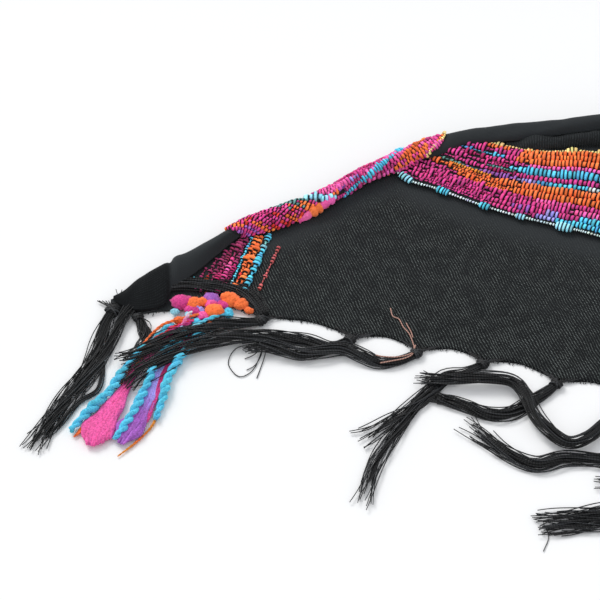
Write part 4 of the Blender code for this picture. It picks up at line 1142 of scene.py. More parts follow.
# The near tassels: name, place of the knot along the cloth's edge, its heading in degrees, width,
# how far the tips spread, and the route in x, y and height.
NEAR_TASSELS = (
    ("tassel_tip", -91.6, -104, 9.4, 1.35,
     ((-96, -16, LOW), (-100, -35, LOW), (-107, -53, LOW), (-117, -73, LOW), (-128, -94, LOW))),
    ("tassel_corner", -81.0, -75, 7.0, 1.1,
     ((-77, -19, LOW), (-75, -26, LOW), (-77, -32, LOW), (-80, -37, LOW))),
    ("tassel_crossing_1", -17.0, -140, 8.2, 1.5,
     ((-28, -17, 3.0), (-41, -19, OVER), (-58, -25, OVER), (-70, -32, OVER), (-81, -39, OVER),
      (-90, -43, OVER))),
    ("tassel_crossing_2", 27.0, -140, 9.0, 1.4,
     ((15, -31, LOW), (3, -27.4, 1.8), (-12, -26, 2.8), (-24, -26.6, OVER), (-38, -28.4, OVER),
      (-50, -31.6, OVER), (-62, -37.5, OVER), (-73, -45, OVER), (-80, -51, OVER), (-86, -59, OVER))),
    ("tassel_under", 59.0, -135, 8.4, 1.2,
     ((48, -40, LOW), (39, -41, LOW), (31, -37.5, 2.2), (21, -33.5, 3.0), (11, -35, 3.0), (1, -36.5, 2.4),
      (-9, -34, 3.2), (-19, -32, 3.8), (-30, -33, OVER))),
    ("tassel_right_1", 91.0, -135, 8.0, 1.7,
     ((80, -47.5, LOW), (71, -50, LOW), (64, -57, LOW), (56, -66, LOW), (49, -78, LOW), (41, -91, LOW),
      (34, -106, LOW), (28, -128, LOW))),
    ("tassel_right_2", 126.0, -135, 8.0, 0.9,
     ((117, -61, LOW), (109, -67, LOW), (100, -72, LOW), (90, -72, LOW), (81, -68, LOW), (73, -65, LOW),
      (66, -63, LOW), (61, -61, LOW))),
    ("tassel_right_3", 160.0, -120, 7.6, 1.3,
     ((152, -72, 2.4), (144, -80, 3.4), (136, -88, OVER), (127, -91, OVER), (119, -85, OVER),
      (112, -75, OVER), (108, -63, OVER), (103, -55, OVER), (94, -53, 4.6), (80, -53, 4.6),
      (69, -52.5, OVER), (60, -51, 2.6), (55, -50, 1.6))),
    ("tassel_right_4", 193.0, -110, 8.8, 1.9,
     ((183, -86, LOW), (170, -96, LOW), (156, -101, LOW), (142, -100, LOW), (125, -98.5, LOW),
      (111, -102, LOW), (97, -95, LOW), (86, -85, LOW), (77, -76.5, LOW))),
    ("tassel_right_5", 226.0, -105, 14.0, 1.0,
     ((220, -96, LOW), (206, -113, LOW), (188, -123, LOW), (165, -130, LOW), (140, -131, LOW),
      (122, -134, LOW), (107, -137.5, LOW))),
    ("tassel_right_6", 259.0, -140, 7.6, 1.4,
     ((246, -98, 2.0), (230, -104, OVER), (210, -108, OVER), (192, -110, 3.0), (170, -112, LOW),
      (152, -112, LOW), (137, -111, LOW))),
)
KNOT_SIZES = {"tassel_tip": 1.3, "tassel_corner": 0.9}
# One tassel parts into two; the second part goes this way.
BRANCH_NAME = "tassel_right_1"
BRANCH_ROUTE = ((80, -47.5, LOW), (71, -50, LOW), (64, -57, LOW), (55, -67, LOW), (44, -76, LOW),
                (34, -84, LOW), (27, -89, LOW))

# The plain tassels after them: the first knot's place, the spacing of knots, and each one's heading.
NEXT_KNOT = 292.0
KNOT_SPACING = 33.4
SWAY = (-112, -104, -100, -96, -91, -86, -82, -74)
SWAY_CURVE = 9.0
ROUTE_STEPS = 5
ROUTE_STEP = 19.0
KNOTS_AT = [row[1] for row in NEAR_TASSELS] + [NEXT_KNOT + KNOT_SPACING * k for k in range(len(SWAY))]

# Threads in a tassel, a thread's half thickness and the length of its twist.
THREADS = 30
WIDE_TASSEL = 10.0
THREAD_HALF = 0.27
TWIST = 1.2
FLOOR_CLEAR = 0.06
# The threads' blacks differ at random; the lighter greys among them are partly painted highlights.
THREAD_BLACKS_AND_HIGHLIGHTS = ((17, 18, 20), (26, 27, 29), (44, 46, 49), (13, 14, 15))
# A bundle's firm core as a share of its width, its clumps, and how far they sway.
CORE = 0.36
CORE_REACH = 0.84
CLUMPS = 6
CLUMP_SWAY = 0.1
# Turn from one thread to the next round a bundle, and the shares of its length where it is fully open,
# where its tips spread, and where they flick aside.
THREAD_TURN = 2.39996
OPEN_AT = 0.25
TIPS_FROM = 0.76
FLICK_FROM = 0.82
# A knot's turns lean these ways.
KNOT_LEANS = (-0.75, 0.75, 0.1, -0.2)
KNOT_CORE = (0.9, 1.9, 2.4, 2.5, 2.4, 1.9, 1.0)
KNOT_THREAD = 0.42
# The warp ends at a knot: how many, and how far apart.
ROOTS = 14
ROOT_SPACING = 1.5


def knot_place(x, facing):
    """Where a knot starts, so that its nearest corner just clears the fringed edge."""
    slope = (fringed_edge(x + 1.0) - fringed_edge(x - 1.0)) / 2.0
    out = np.array((slope, -1.0)) / math.hypot(slope, 1.0)
    side = np.array((-facing[1], facing[0]))
    start = np.array((x, fringed_edge(x)))
    clear = []
    for reach, width in ((0.0, 0.7), (0.5, 1.0)):
        for sign in (-0.5, 0.5):
            spot = start + facing * KNOT_LENGTH * reach + side * sign * KNOT_WIDTH * width
            clear.append((spot[1] - fringed_edge(spot[0])) * out[1])
    return start + out * (0.6 - min(clear))


def direction(turn):
    """A direction on the floor."""
    return np.array((math.cos(turn), math.sin(turn)))


def shades_of(rng, count):
    """Blacks drawn for a number of threads."""
    return np.array([paint(rgb) for rgb in THREAD_BLACKS_AND_HIGHLIGHTS])[rng.integers(0, len(THREAD_BLACKS_AND_HIGHLIGHTS), count)]


def thread(line, half, colour, sides=4):
    """One twisted thread along a path."""
    return tube(line, UP, half, half, sides, colour, along_path(line) / TWIST)


def late(share, start):
    """A share that grows faster and faster from its start to the end."""
    return np.clip((share - start) / (1.0 - start), 0.0, 1.0) ** 2


def level_side(line):
    """The direction to the left of a path, level with the floor."""
    along = np.gradient(line, axis=0)
    along[:, 2] = 0.0
    along = unit(along)
    return np.stack([-along[:, 1], along[:, 0], 0.0 * along[:, 0]], axis=1)


def bundle(route, width, height, splay, threads, seed, spacing, start_width=0.55, turns=0.6, ragged=0.07):
    """Many threads along one route, gathered at its start and splayed at their tips."""
    rng = np.random.default_rng(seed)
    centre = smooth_route(route, spacing)
    length = along_path(centre)[-1]
    shades = shades_of(rng, threads)
    phases = rng.uniform(0.0, 2.0 * math.pi, CLUMPS)
    parts = []
    for k in range(threads):
        reach = 1.0 - abs(rng.normal(0.0, ragged))
        at = np.linspace(0.0, length * reach, max(5, int(length * reach / spacing)))
        t = at / length
        line = resample(centre, at)
        side = level_side(line)
        radius = math.sqrt((k + 0.5) / threads)
        angle = THREAD_TURN * k + 2.0 * math.pi * turns * t
        opened = start_width + (1.0 - start_width) * np.clip(t / OPEN_AT, 0.0, 1.0)
        tips = late(t, TIPS_FROM)
        fan = 0.5 * width * (opened + (splay - 1.0) * tips)
        wander = 0.5 * np.sin(at / 9.0 + rng.uniform(0.0, 6.3)) * np.clip(t * 5.0, 0.0, 1.0)
        flick = rng.normal(0.0, 0.22 * width) * late(t, FLICK_FROM)
        sway = np.sin(at / 11.0 + phases[k % CLUMPS]) * np.clip(t * 6.0, 0.0, 1.0)
        off = fan * radius * np.cos(angle) + wander + flick + CLUMP_SWAY * width * sway
        rise = 0.5 * height * radius * np.sin(angle) * (1.0 - 0.6 * tips)
        line = line + side * off[:, None]
        line[:, 2] = np.maximum(line[:, 2] + rise, THREAD_HALF + FLOOR_CLEAR)
        thin = THREAD_HALF * (1.0 - 0.25 * tips)
        parts.append(tube(line, UP, thin, thin, 4, shades[k], at / TWIST))
    core_at = np.linspace(0.0, CORE_REACH * length, max(6, int(length / (1.6 * spacing))))
    core_line = resample(centre, core_at)
    core_line[:, 2] -= 0.15
    full = CORE * 0.5 * (1.0 - 0.55 * np.clip((core_at / length - 0.5) / 0.34, 0.0, 1.0) ** 2)
    parts.append(tube(core_line, UP, width * full, 0.8 * height * full, 8, TINT["black"], core_at / TWIST))
    return parts


def knot(spot, facing, seed, size=1.0, loops=16):
    """An overhand knot of the gathered threads: turns that cross over a firm middle."""
    rng = np.random.default_rng(seed)
    middle = np.array((*(spot + facing * 0.5 * KNOT_LENGTH), 2.1))
    a, b = np.array((-facing[1], facing[0], 0.0)), np.array((*facing, 0.0))
    parts = []
    turn = np.linspace(0.0, 2.0 * math.pi, 26 if loops > 8 else 14)
    for k in range(loops):
        lean = KNOT_LEANS[k % 4] + rng.normal(0.0, 0.1)
        wide = size * (3.0 - 0.16 * (k // 4)) * (1.0 + rng.normal(0.0, 0.04))
        tall = size * (1.45 - 0.1 * (k // 4))
        shift = size * rng.normal(0.0, 0.55) + (k % 3 - 1) * 0.5
        loop = (middle + a * (np.cos(turn) * wide * math.cos(lean))[:, None]
                + b * (np.cos(turn) * wide * math.sin(lean) * 0.8 + shift)[:, None]
                + UP * (np.sin(turn) * tall)[:, None])
        loop[:, 2] = np.maximum(loop[:, 2], 0.45)
        parts.append(tube(loop, unit(loop - middle + 1e-6), KNOT_THREAD, KNOT_THREAD, 6,
                          shades_of(rng, 1)[0], along_path(loop) / TWIST))
    core = middle + b * np.linspace(-1.9, 1.9, 7)[:, None] * size
    full = np.array(KNOT_CORE) * size
    parts.append(tube(core, UP, full, full * 0.55, 10, TINT["black"], along_path(core)))
    return parts


def edge_point(x, inside, height):
    """A point of the warp just inside the drawn-up fringed edge."""
    return np.array((x, fringed_edge(x) + drawn_up(x) + inside, height))


def roots(x, spot, facing, seed):
    """The warp ends that run from the cloth's edge into a knot."""
    rng = np.random.default_rng(seed)
    parts = []
    for k in range(ROOTS):
        start = edge_point(x + (k - 0.5 * (ROOTS - 1)) * ROOT_SPACING + rng.normal(0.0, 0.3), 1.0, 1.3)
        end = np.array((*(spot + facing * 0.8), 1.6)) + rng.normal(0.0, 0.4, 3) * (1.0, 1.0, 0.3)
        bend = 0.5 * (start + end) + np.array((0.0, -0.3, 0.2))
        line = smooth_route([start, bend, end], 1.2)
        parts.append(thread(line, THREAD_HALF, shades_of(rng, 1)[0]))
    return parts


def tassel(name, x, heading, width, splay, route, threads, seed, spacing, branch=None):
    """One tassel: the warp ends at the edge, the knot, and the threads beyond it."""
    facing = direction(math.radians(heading))
    spot = knot_place(x, facing)
    front = (*(spot + facing * KNOT_LENGTH * 0.7), 1.9)
    parts = roots(x, spot, facing, seed) + knot(spot, facing, seed + 1, KNOT_SIZES.get(name, 1.0))
    ways = [(route, threads)] if branch is None else [(route, threads // 2 + 4), (branch, threads // 2)]
    for k, (way, count) in enumerate(ways):
        parts += bundle([front, *way], width, 2.3, splay, count, seed + 2 + k, spacing)
    make(name + "_threads", parts, THREAD, [name])


def near_fringe():
    """The tassels that the photograph shows."""
    for k, (name, x, heading, width, splay, route) in enumerate(NEAR_TASSELS):
        branch = BRANCH_ROUTE if name == BRANCH_NAME else None
        threads = THREADS if width < WIDE_TASSEL else 2 * THREADS
        tassel(name, x, heading, width, splay, route, threads, 500 + 10 * k, 2.0, branch)


def next_fringe():
    """The plain tassels on the rest of the near edge."""
    for k, sway in enumerate(SWAY):
        x = NEXT_KNOT + k * KNOT_SPACING
        route = []
        point = np.array((x, fringed_edge(x) - KNOT_LENGTH - 2.0))
        for step in range(1, ROUTE_STEPS + 1):
            turn = math.radians(sway + SWAY_CURVE * math.sin(1.3 * step + k))
            point = point + ROUTE_STEP * direction(turn)
            route.append((*point, LOW))
        tassel("tassel_next_%d" % (k + 1), x, -95, 6.5, 1.6, route, 18, 700 + 10 * k, 5.0)


# The far fringe: strips, tassels in each, their length, root, spread and wave.
FAR_STRIPS = 3
FAR_TASSELS = 6
FAR_LENGTH = 108.0
FAR_ROOT = 2.8
FAR_SPREAD = 0.10
FAR_WAVE = 2.2
FAR_STEPS = 4
STRIP_GAP = 0.6


def far_place(out, across):
    """A place beyond the cut edge of the far end."""
    side = across - LINE_OF_STRIP
    heading = PATH_HEADING[-1]
    return (PATH_X[-1] + out * math.cos(heading) - side * math.sin(heading),
            PATH_Y[-1] + out * math.sin(heading) + side * math.cos(heading))


def far_fringe():
    """The far end's tassels, each knotted at the cut edge like the near ones."""
    first, last = float(selvage(RUN[-1])) + 1.0, float(fold_back(RUN[-1])) - 1.0
    width = (last - first) / FAR_STRIPS
    facing = direction(PATH_HEADING[-1])
    for strip in range(FAR_STRIPS):
        left = first + strip * width + STRIP_GAP
        parts = []
        for k in range(FAR_TASSELS):
            across = left + (width - 2.0 * STRIP_GAP) * (k + 0.5) / FAR_TASSELS
            route = []
            for step in range(FAR_STEPS + 1):
                gone = step / FAR_STEPS
                out = FAR_ROOT + 2.0 + gone * (FAR_LENGTH - FAR_ROOT - 3.0)
                drift = FAR_SPREAD * (across - LINE_OF_STRIP) * gone ** 1.5
                wave = FAR_WAVE * math.sin(1.2 * step + 1.7 * strip) * gone
                route.append((*far_place(out, across + drift + wave), 1.3))
            seed = 900 + 20 * strip + k
            parts += knot(np.array(far_place(0.0, across)), facing, seed, 0.72, 6)
            parts += bundle(route, 4.4, 1.8, 1.4, 12, seed + 200, 5.2)
        number = "_%d" % (strip + 1)
        make("far_tassels" + number, parts, THREAD, ["far_fringe" + number])


# Stray threads that leave the bundles: half thickness and the route.
STRAYS = (
    (0.24, ((-20, -30, 3.2), (-31, -32, 1.4), (-35, -40, 0.5), (-32, -47, 0.5), (-28, -49, 0.5),
            (-23, -45, 0.5), (-20, -38, 1.0), (-18, -31, 3.0))),
    (0.24, ((-18, -30, 3.0), (-17, -35, 1.2), (-19, -43, 0.5), (-21, -50, 0.5))),
    (0.22, ((-18, -30, 3.0), (-19, -36, 1.0), (-22, -42, 0.5), (-26, -45, 0.5))),
    (0.22, ((-27, -38, 0.5), (-23, -36, 0.8), (-19, -33, 2.0))),
    (0.2, ((-28, -29, 4.0), (-26, -25, 3.4), (-20, -24, 3.4), (-13, -27, 3.8))),
    (0.2, ((-90, -2, 2.6), (-91, 0, 4.2), (-92, 4.0, 3.6))),
    (0.2, ((-91, -3, 2.6), (-89.6, 0, 4.4), (-89, 4.0, 3.2))),
    (0.2, ((-91, -4, 2.6), (-94, -4, 2.0), (-97.5, -3, 0.8))),
    (0.2, ((-91, -5, 2.4), (-94, -6.4, 1.4), (-97, -7.4, 0.6))),
    (0.22, ((112, -135, 1.0), (114, -142, 0.5), (111, -150, 0.5))),
    (0.22, ((74, -51, 3.4), (66, -50, 1.8), (60, -46.4, 1.9))),
    (0.22, ((74, -52, 3.2), (65, -53, 1.2), (59, -51, 0.8))),
    (0.22, ((-40, -27, 5.4), (-58, -22, 5.2), (-70, -24, 4.0), (-76, -31, 3.0), (-78, -40, 2.0))),
    (0.22, ((-58, -44, 4.0), (-74, -55, 3.0), (-88, -57, 1.2), (-92, -54, 0.7))),
)
# Copper threads that came off the cloth, the same way.
COPPER_STRAYS = (
    (0.3, ((45, -7, 1.9), (46, -12, 1.9), (49, -14, 2.0), (51, -19, 2.0), (54, -24, 2.1), (56, -32, 2.4))),
    (0.3, ((56, -31, 2.4), (55, -36, 3.2), (51, -38.4, 3.6), (46, -39.4, 3.8), (40, -39.0, 3.8),
           (37, -38.0, 3.6))),
    (0.3, ((56.6, -31, 2.4), (55, -37, 3.2), (51, -40, 3.6), (45, -41.6, 3.6), (39, -42.6, 3.2))),
    (0.28, ((55.5, -26, 2.4), (54.6, -22, 2.2), (53, -18, 2.0), (52.6, -16.4, 1.9))),
)


# Bundles along the fringed edge: route, then width, height, splay, threads, seed, spacing.
EDGE_BUNDLES = (
    (((-72, 5.5, 3.0), (-60, 8.0, 3.0), (-48, 7.0, 3.0), (-38, 5.5, 3.0), (-28, 2.0, 3.0), (-21, -5.0, 2.8),
      (-17.5, -12.0, 2.4)),
     (8.0, 2.4, 0.5, 40, 480, 1.7), {"start_width": 0.8, "turns": 0.25, "ragged": 0.01}),
    (((-88, -10, 1.6), (-93, -26, 1.2), (-96, -34, 1.1), (-96, -47, 1.1), (-98, -58, 1.1), (-106, -65, 1.1),
      (-113, -76, 1.1), (-120, -87, 1.0)),
     (2.2, 1.0, 1.6, 9, 481, 1.7), {}),
    (((-83, -3, 3.0), (-87, -12, 2.6), (-91, -23, 2.2), (-95, -35, 1.8), (-101, -49, 1.5),
      (-109, -64, 1.4)),
     (6.4, 1.8, 0.8, 20, 482, 1.7), {"start_width": 1.3}),
)
# The short warp ends of the frayed edge: first and last place, spacing, half thickness.
FRAY_ENDS = (-88.0, 545.0)
FRAY_SPACING = 1.4
FRAY_HALF = 0.2


def strays():
    """Single threads that lie beside the tassels."""
    tinted = [(half, route, paint(THREAD_BLACKS_AND_HIGHLIGHTS[k % 3])) for k, (half, route) in enumerate(STRAYS)]
    tinted += [(half, route, TINT["copper"]) for half, route in COPPER_STRAYS]
    parts = [thread(smooth_route(route, 0.9), half, colour, 6) for half, route, colour in tinted]
    make("stray_threads", parts, THREAD)


def edge_threads():
    """Black threads bunched along the fringed edge, over the ends of the woven rows."""
    parts = []
    for route, sizes, more in EDGE_BUNDLES:
        parts += bundle(route, *sizes, **more)
    make("edge_threads", parts, THREAD)


def frayed_edge():
    """Short warp ends along the fringed edge between the knots."""
    rng = np.random.default_rng(77)
    parts = []
    for x in np.arange(*FRAY_ENDS, FRAY_SPACING):
        start = edge_point(x + rng.normal(0.0, 0.3), 0.8, 1.0)
        lean = rng.normal(-0.25, 0.35)
        reach = abs(rng.normal(0.5, 0.5)) + 0.2
        line = np.linspace(start, start + np.array((lean * reach, -reach - 0.8, -0.55)), 4)
        line[1:3, 0] += rng.normal(0.0, 0.2, 2)
        parts.append(thread(line, FRAY_HALF, shades_of(rng, 1)[0]))
    make("frayed_edge", parts, THREAD)


# The loose slub ends: half thickness at the start, middle and tip, twist (turns in 10 mm, 0 for a
# fluffy one), ((share, colour), ...), and the route in x, y and height.
LOOSE_ENDS = (
    (1.5, 2.2, 2.4, 0.85, ((0, "aqua"),),
     ((-63, -17, 1.6), (-70, -25, 1.6), (-78, -35, 2.0), (-85.5, -47, 2.8), (-91, -59, 3.2),
      (-98, -68, 3.2),
      (-104, -76, 3.0), (-109, -83, 2.6))),
    (0.8, 1.4, 1.3, 0.0, ((0, "orange"), (0.5, "magenta"), (0.7, "orange")),
     ((-69, -25, 1.4), (-78, -40, 1.2), (-86, -59, 1.1), (-95, -71, 1.1), (-102, -79, 1.1),
      (-108, -87, 0.9))),
    (0.9, 1.8, 7.6, 0.0, ((0, "magenta"), (0.55, "pink")),
     ((-59, -18, 1.4), (-69, -30, 1.4), (-78, -43, 1.4), (-83, -54, 1.5), (-87, -63, 1.4), (-91, -72, 1.4),
      (-96, -82, 1.3), (-99, -93, 1.1))),
    (1.4, 2.1, 2.2, 0.9, ((0, "aqua"),),
     ((-54, -17, 1.6), (-63, -29, 1.6), (-70.5, -42, 2.4), (-73, -53, 3.2), (-77.5, -67, 3.4),
      (-82, -78, 3.4),
      (-85.5, -85, 3.2), (-88, -88, 2.8))),
    (0.9, 2.4, 6.0, 0.0, ((0, "aqua"), (0.35, "lavender"), (0.68, "purple")),
     ((-51, -18, 1.2), (-60, -29, 1.2), (-67, -43, 1.2), (-71, -56, 1.2), (-74, -67, 1.2), (-78, -77, 1.3),
      (-82, -83.5, 1.3), (-86, -91.5, 1.1))),
    (0.9, 1.7, 1.4, 0.0, ((0, "magenta"), (0.35, "dark_magenta"), (0.6, "magenta")),
     ((-49, -19, 1.2), (-58, -30, 1.2), (-66, -46, 2.0), (-69, -59, 2.2), (-72, -72, 2.2),
      (-76, -82, 1.8))),
    (1.6, 2.3, 2.0, 0.9, ((0, "aqua"),),
     ((-46, -18, 1.6), (-54, -30, 1.7), (-60, -42, 2.0), (-64, -52, 2.2), (-66, -64, 2.2),
      (-69, -76, 1.8))),
    (0.6, 0.7, 0.6, 2.0,
     ((0, "red"), (0.3, "orange"), (0.5, "red"), (0.62, "gold"), (0.8, "orange"), (0.9, "gold")),
     ((-47, -20, 1.0), (-56, -33, 1.0), (-64, -49, 0.9), (-67, -65, 0.9), (-70, -78, 0.9), (-77, -88, 0.9),
      (-86, -97, 0.9))),
    (0.7, 0.8, 0.6, 1.8, ((0, "orange"), (0.5, "red"), (0.8, "orange")),
     ((-50, -13, 4.6), (-61, -16, 3.9), (-68, -19, 3.2), (-74, -26, 2.8), (-79, -35, 2.4), (-84, -45, 1.7),
      (-87, -57, 1.4), (-87, -64, 1.0))),
    (0.7, 0.8, 0.6, 1.8, ((0, "magenta"), (0.4, "orange"), (0.7, "red")),
     ((-47, -15, 4.4), (-56, -18, 3.8), (-63, -22, 3.2), (-71, -28, 2.8), (-77, -36, 2.6), (-82, -44, 1.8),
      (-85, -55, 1.4))),
    (0.6, 0.8, 0.6, 1.8, ((0, "red"), (0.4, "magenta"), (0.7, "dark_magenta")),
     ((-52, -16, 4.2), (-60, -19, 3.6), (-66, -23, 3.0), (-74, -29, 2.6), (-80, -38, 2.2), (-82, -47, 2.0),
      (-84, -59, 1.4), (-86, -66, 1.2))),
    (0.9, 1.0, 0.8, 1.5, ((0, "aqua"), (0.5, "pale_aqua"), (0.8, "aqua")),
     ((-35, -11, 4.0), (-43, -15, 4.6), (-50, -19, 4.4), (-57, -23, 3.4), (-63, -28, 2.2))),
    (0.8, 1.0, 0.8, 1.5, ((0, "white_blue"), (0.4, "pink"), (0.7, "aqua")),
     ((-52, -8, 3.6), (-55, -13, 4.4), (-58, -19, 3.6), (-62, -25, 2.2))),
)
# Root lumps where the ends leave the cloth: place, half size and colour.
ROOT_LUMPS = (
    ((-58.5, -4.0, 2.9), 6.2, "magenta"), ((-52.5, -5.6, 4.0), 4.2, "orange"),
    ((-52.0, -10.0, 3.2), 3.8, "magenta"), ((-43.5, -2.4, 3.0), 4.8, "purple"),
    ((-44.5, -5.6, 3.8), 3.6, "pink"), ((-34.5, -2.6, 3.0), 4.9, "orange"),
    ((-29.5, -5.2, 2.8), 3.8, "orange"), ((-26, -8.4, 2.2), 2.4, "orange"),
    ((-42.5, -10.4, 4.2), 4.4, "orange"),
    ((-36, -11.4, 3.0), 3.2, "aqua"), ((-48, -13.2, 3.0), 3.2, "pink"),
    ((-55, -12.4, 2.8), 2.4, "pale_aqua"),
    ((-51, -16.6, 2.8), 2.8, "aqua"), ((-56, -17.4, 2.4), 2.8, "magenta"),
    ((-45, -16.6, 2.6), 3.2, "orange"),
    ((-62, -9.4, 2.2), 2.2, "pale_aqua"), ((-60, -15.0, 2.2), 2.8, "orange"),
    ((-39.5, -5.8, 3.0), 3.4, "magenta"),
    ((-64.5, -19.0, 2.0), 2.4, "magenta"), ((-49.5, -9.6, 3.4), 2.6, "lavender"),
)
# Loose yarn: millimetres to one UV step, strands in a wedge, and its greatest half height.
LOOSE_STEP = 3.0
FLUFF_LANES = 19
FLUFF_THICK = 1.6
# A lump: how rough it is, and the sizes of its folds.
LUMP_ROUGH = 0.09
LUMP_FOLDS = (1.0, 0.74)


def smoothed(colours, reach):
    """Colours that run into each other over a few points to each side."""
    width = 2 * reach + 1
    padded = np.pad(colours, ((reach, reach), (0, 0)), mode="edge")
    weight = np.ones(width) / width
    return np.stack([np.convolve(padded[:, c], weight, mode="valid") for c in range(3)], axis=1)


def plied(line, half, turns, stops, seed):
    """A soft yarn of two plies twisted together."""
    rng = np.random.default_rng(seed)
    run = along_path(line)
    along = unit(np.gradient(line, axis=0))
    side = unit(np.cross(np.broadcast_to(UP, line.shape), along))
    over = np.cross(along, side)
    parts = []
    for ply in range(2):
        angle = 2.0 * math.pi * turns * run / 10.0 + math.pi * ply
        path = line + (side * np.cos(angle)[:, None] + over * np.sin(angle)[:, None]) * half[:, None] * 0.5
        colours = smoothed(dyed(stops, run / run[-1], rng, 0.02), 3)
        swell = half * (0.62 + 0.06 * np.sin(run * 1.9 + ply))
        parts.append(tube(path, UP, swell, swell, 8, colours, run / LOOSE_STEP))
    return parts


def fluffy(line, half, stops, seed):
    """A loose wedge of fibres: strands side by side that spread where the yarn is thick."""
    rng = np.random.default_rng(seed)
    run = along_path(line)
    t = run / run[-1]
    along = unit(np.gradient(line, axis=0))
    side = np.stack([-along[:, 1], along[:, 0], 0.0 * t], axis=1)
    parts = []
    for k in range(FLUFF_LANES):
        lane = (2.0 * k + 1.0) / FLUFF_LANES - 1.0
        wave = 0.07 * half * np.sin(run / 4.0 + rng.uniform(0.0, 6.3)) + 0.04 * half * np.sin(run / 1.7 + k)
        path = line + side * (half * lane * 0.88 + wave)[:, None]
        thin = 0.15 * half + 0.24 + 0.05 * np.sin(run / 1.3 + 2.0 * k)
        crown = 0.3 * np.minimum(half, 3.0) * math.sqrt(1.0 - lane * lane) - 0.3
        path[:, 2] = np.maximum(line[:, 2] + crown + rng.normal(0.0, 0.12), thin + 0.1)
        count = int(len(line) * (1.0 - 0.012 * abs(rng.normal(0.0, 1.0)) - 0.07 * lane * lane))
        count = max(5, min(count, len(line)))
        thin[count - 2] *= 0.8
        thin[count - 1] *= 0.45
        colours = smoothed(dyed(stops, t, rng, 0.03), 4) * rng.uniform(0.92, 1.1)
        thin = thin[:count]
        parts.append(tube(path[:count], UP, thin, thin, 6, colours[:count], run[:count] / LOOSE_STEP))
    return parts


def lump(middle, half, colour, seed):
    """A soft lump of yarn: a few rounded folds pressed into each other."""
    rng = np.random.default_rng(seed)
    t = np.linspace(-1.0, 1.0, 13)
    full = np.sqrt(np.maximum(1.0 - (t * 0.98) ** 2, 0.03))
    parts = []
    for k, share in enumerate(LUMP_FOLDS):
        size = half * share * np.array((1.0, rng.uniform(0.7, 0.9), 1.0))
        shift = np.array((rng.normal(0.0, 0.34), rng.normal(0.0, 0.34), 0.1 * k)) * half * (k > 0)
        spot = np.array(middle) + shift
        way = np.array((*direction(rng.uniform(-0.9, 0.5)), 0.0))
        path = spot + way * (size[0] * t * 0.98)[:, None]
        shade = np.outer(rng.uniform(0.85, 1.12) + 0.0 * t, TINT[colour])
        low = min(0.62 * half, spot[2] - 0.2)
        made = tube(path, UP, size[1] * full, low * full, 12, shade, t * 2.0)
        off = made.points - spot
        rough = sum(np.sin(off @ rng.normal(0.0, 1.5, 3) + rng.uniform(0.0, 6.3)) for _ in range(4)) / 2.0
        points = spot + off * (1.0 + LUMP_ROUGH * rough)[:, None]
        points[:, 2] = np.maximum(points[:, 2], 0.2)
        parts.append(made._replace(points=points))
    return parts


def loose_slubs():
    """The loose ends of the slub yarns, and the lumps where they leave the cloth."""
    parts = []
    for k, (start, middle, tip, turns, stops, route) in enumerate(LOOSE_ENDS):
        line = smooth_route(route, 0.9 if turns else 1.3)
        run = along_path(line)
        end = tip * (0.6 if turns else 0.9)
        half = np.interp(run / run[-1], (0.0, 0.5, 0.86, 1.0), (start, middle, tip, end))
        half = half * (1.0 + 0.12 * np.sin(run / 3.1 + k))
        height = half if turns else np.minimum(half, FLUFF_THICK)
        line[:, 2] = np.maximum(line[:, 2], height * 1.1 + 0.2)
        parts += plied(line, half, turns, stops, 800 + k) if turns else fluffy(line, half, stops, 800 + k)
    for k, (middle, half, colour) in enumerate(ROOT_LUMPS):
        parts += lump(middle, half, colour, 850 + k)
    make("loose_slubs", parts, LOOSE, ["slub_fringe"])


def folded_layers():
    """The CAD solid of the hidden layers keeps its form and gets the cotton's finish."""
    core = frame["nodes"]["hidden_layers"]
    core.data.materials.clear()
    core.data.materials.append(LAYERS)


# The studio: brightness of the sky and the window light, their colours, and the light's direction.
SKY = 0.78
SKY_COLOUR = (0.95, 0.97, 1.0, 1.0)
KEY = 1.6
KEY_COLOUR = (1.0, 0.99, 0.97)
KEY_SOFTNESS = math.radians(28.0)
KEY_TURN = (math.radians(-38.0), math.radians(-32.0), 0.0)
FLOOR_SIZE = 8.0
FLOOR_COLOUR = (0.93, 0.93, 0.93, 1.0)
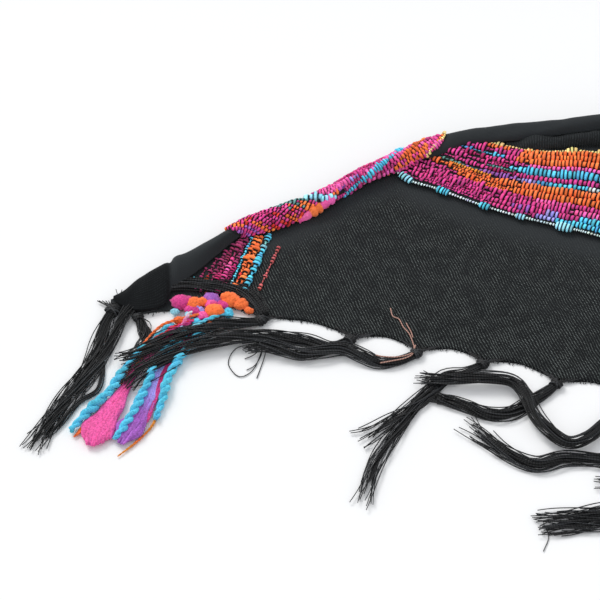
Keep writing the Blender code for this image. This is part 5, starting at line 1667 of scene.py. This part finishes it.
# The camera: distance, height angle, and the width that it sees at the middle.
CAMERA_DISTANCE = 1.1
CAMERA_RISE = math.radians(50.0)
VIEW_WIDTH = 0.3
SENSOR_WIDTH = 36.0


def stage():
    """A plain pale floor."""
    bpy.ops.object.select_all(action="DESELECT")
    bpy.ops.mesh.primitive_plane_add(size=FLOOR_SIZE, location=(0.0, 0.0, 0.0))
    floor = bpy.context.object
    floor.name = "floor"
    paper, _, shader = new_finish("pale_paper", 0.9, 0.0, 0.1)
    shader.inputs["Base Color"].default_value = FLOOR_COLOUR
    floor.data.materials.append(paper)


def light():
    """A bright even sky, and one soft light from a window."""
    world = bpy.data.worlds.new("studio")
    world.use_nodes = True
    background = world.node_tree.nodes["Background"]
    background.inputs["Color"].default_value = SKY_COLOUR
    background.inputs["Strength"].default_value = SKY
    bpy.context.scene.world = world
    key = bpy.data.lights.new("window", "SUN")
    key.energy = KEY
    key.angle = KEY_SOFTNESS
    key.color = KEY_COLOUR
    lamp = bpy.data.objects.new("window", key)
    lamp.rotation_euler = KEY_TURN
    bpy.context.scene.collection.objects.link(lamp)


def camera():
    """The camera at the photograph's angle, towards the origin."""
    made = bpy.data.cameras.new("camera")
    made.sensor_width = SENSOR_WIDTH
    made.lens = SENSOR_WIDTH * CAMERA_DISTANCE / VIEW_WIDTH
    holder = bpy.data.objects.new("camera", made)
    back, up = direction(CAMERA_RISE) * CAMERA_DISTANCE
    holder.location = (0.0, -back, up)
    holder.rotation_euler = (math.pi / 2.0 - CAMERA_RISE, 0.0, 0.0)
    bpy.context.scene.collection.objects.link(holder)
    bpy.context.scene.camera = holder


for thing in list(bpy.data.objects):
    bpy.data.objects.remove(thing, do_unlink=True)
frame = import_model()
camera()
light()
stage()
under_layer()
near_cloth()
long_cloth()
near_rows()
far_rows()
borders()
rolled_rows()
stripes()
near_fringe()
next_fringe()
far_fringe()
strays()
edge_threads()
frayed_edge()
loose_slubs()
folded_layers()
bpy.context.scene.view_settings.view_transform = "Standard"
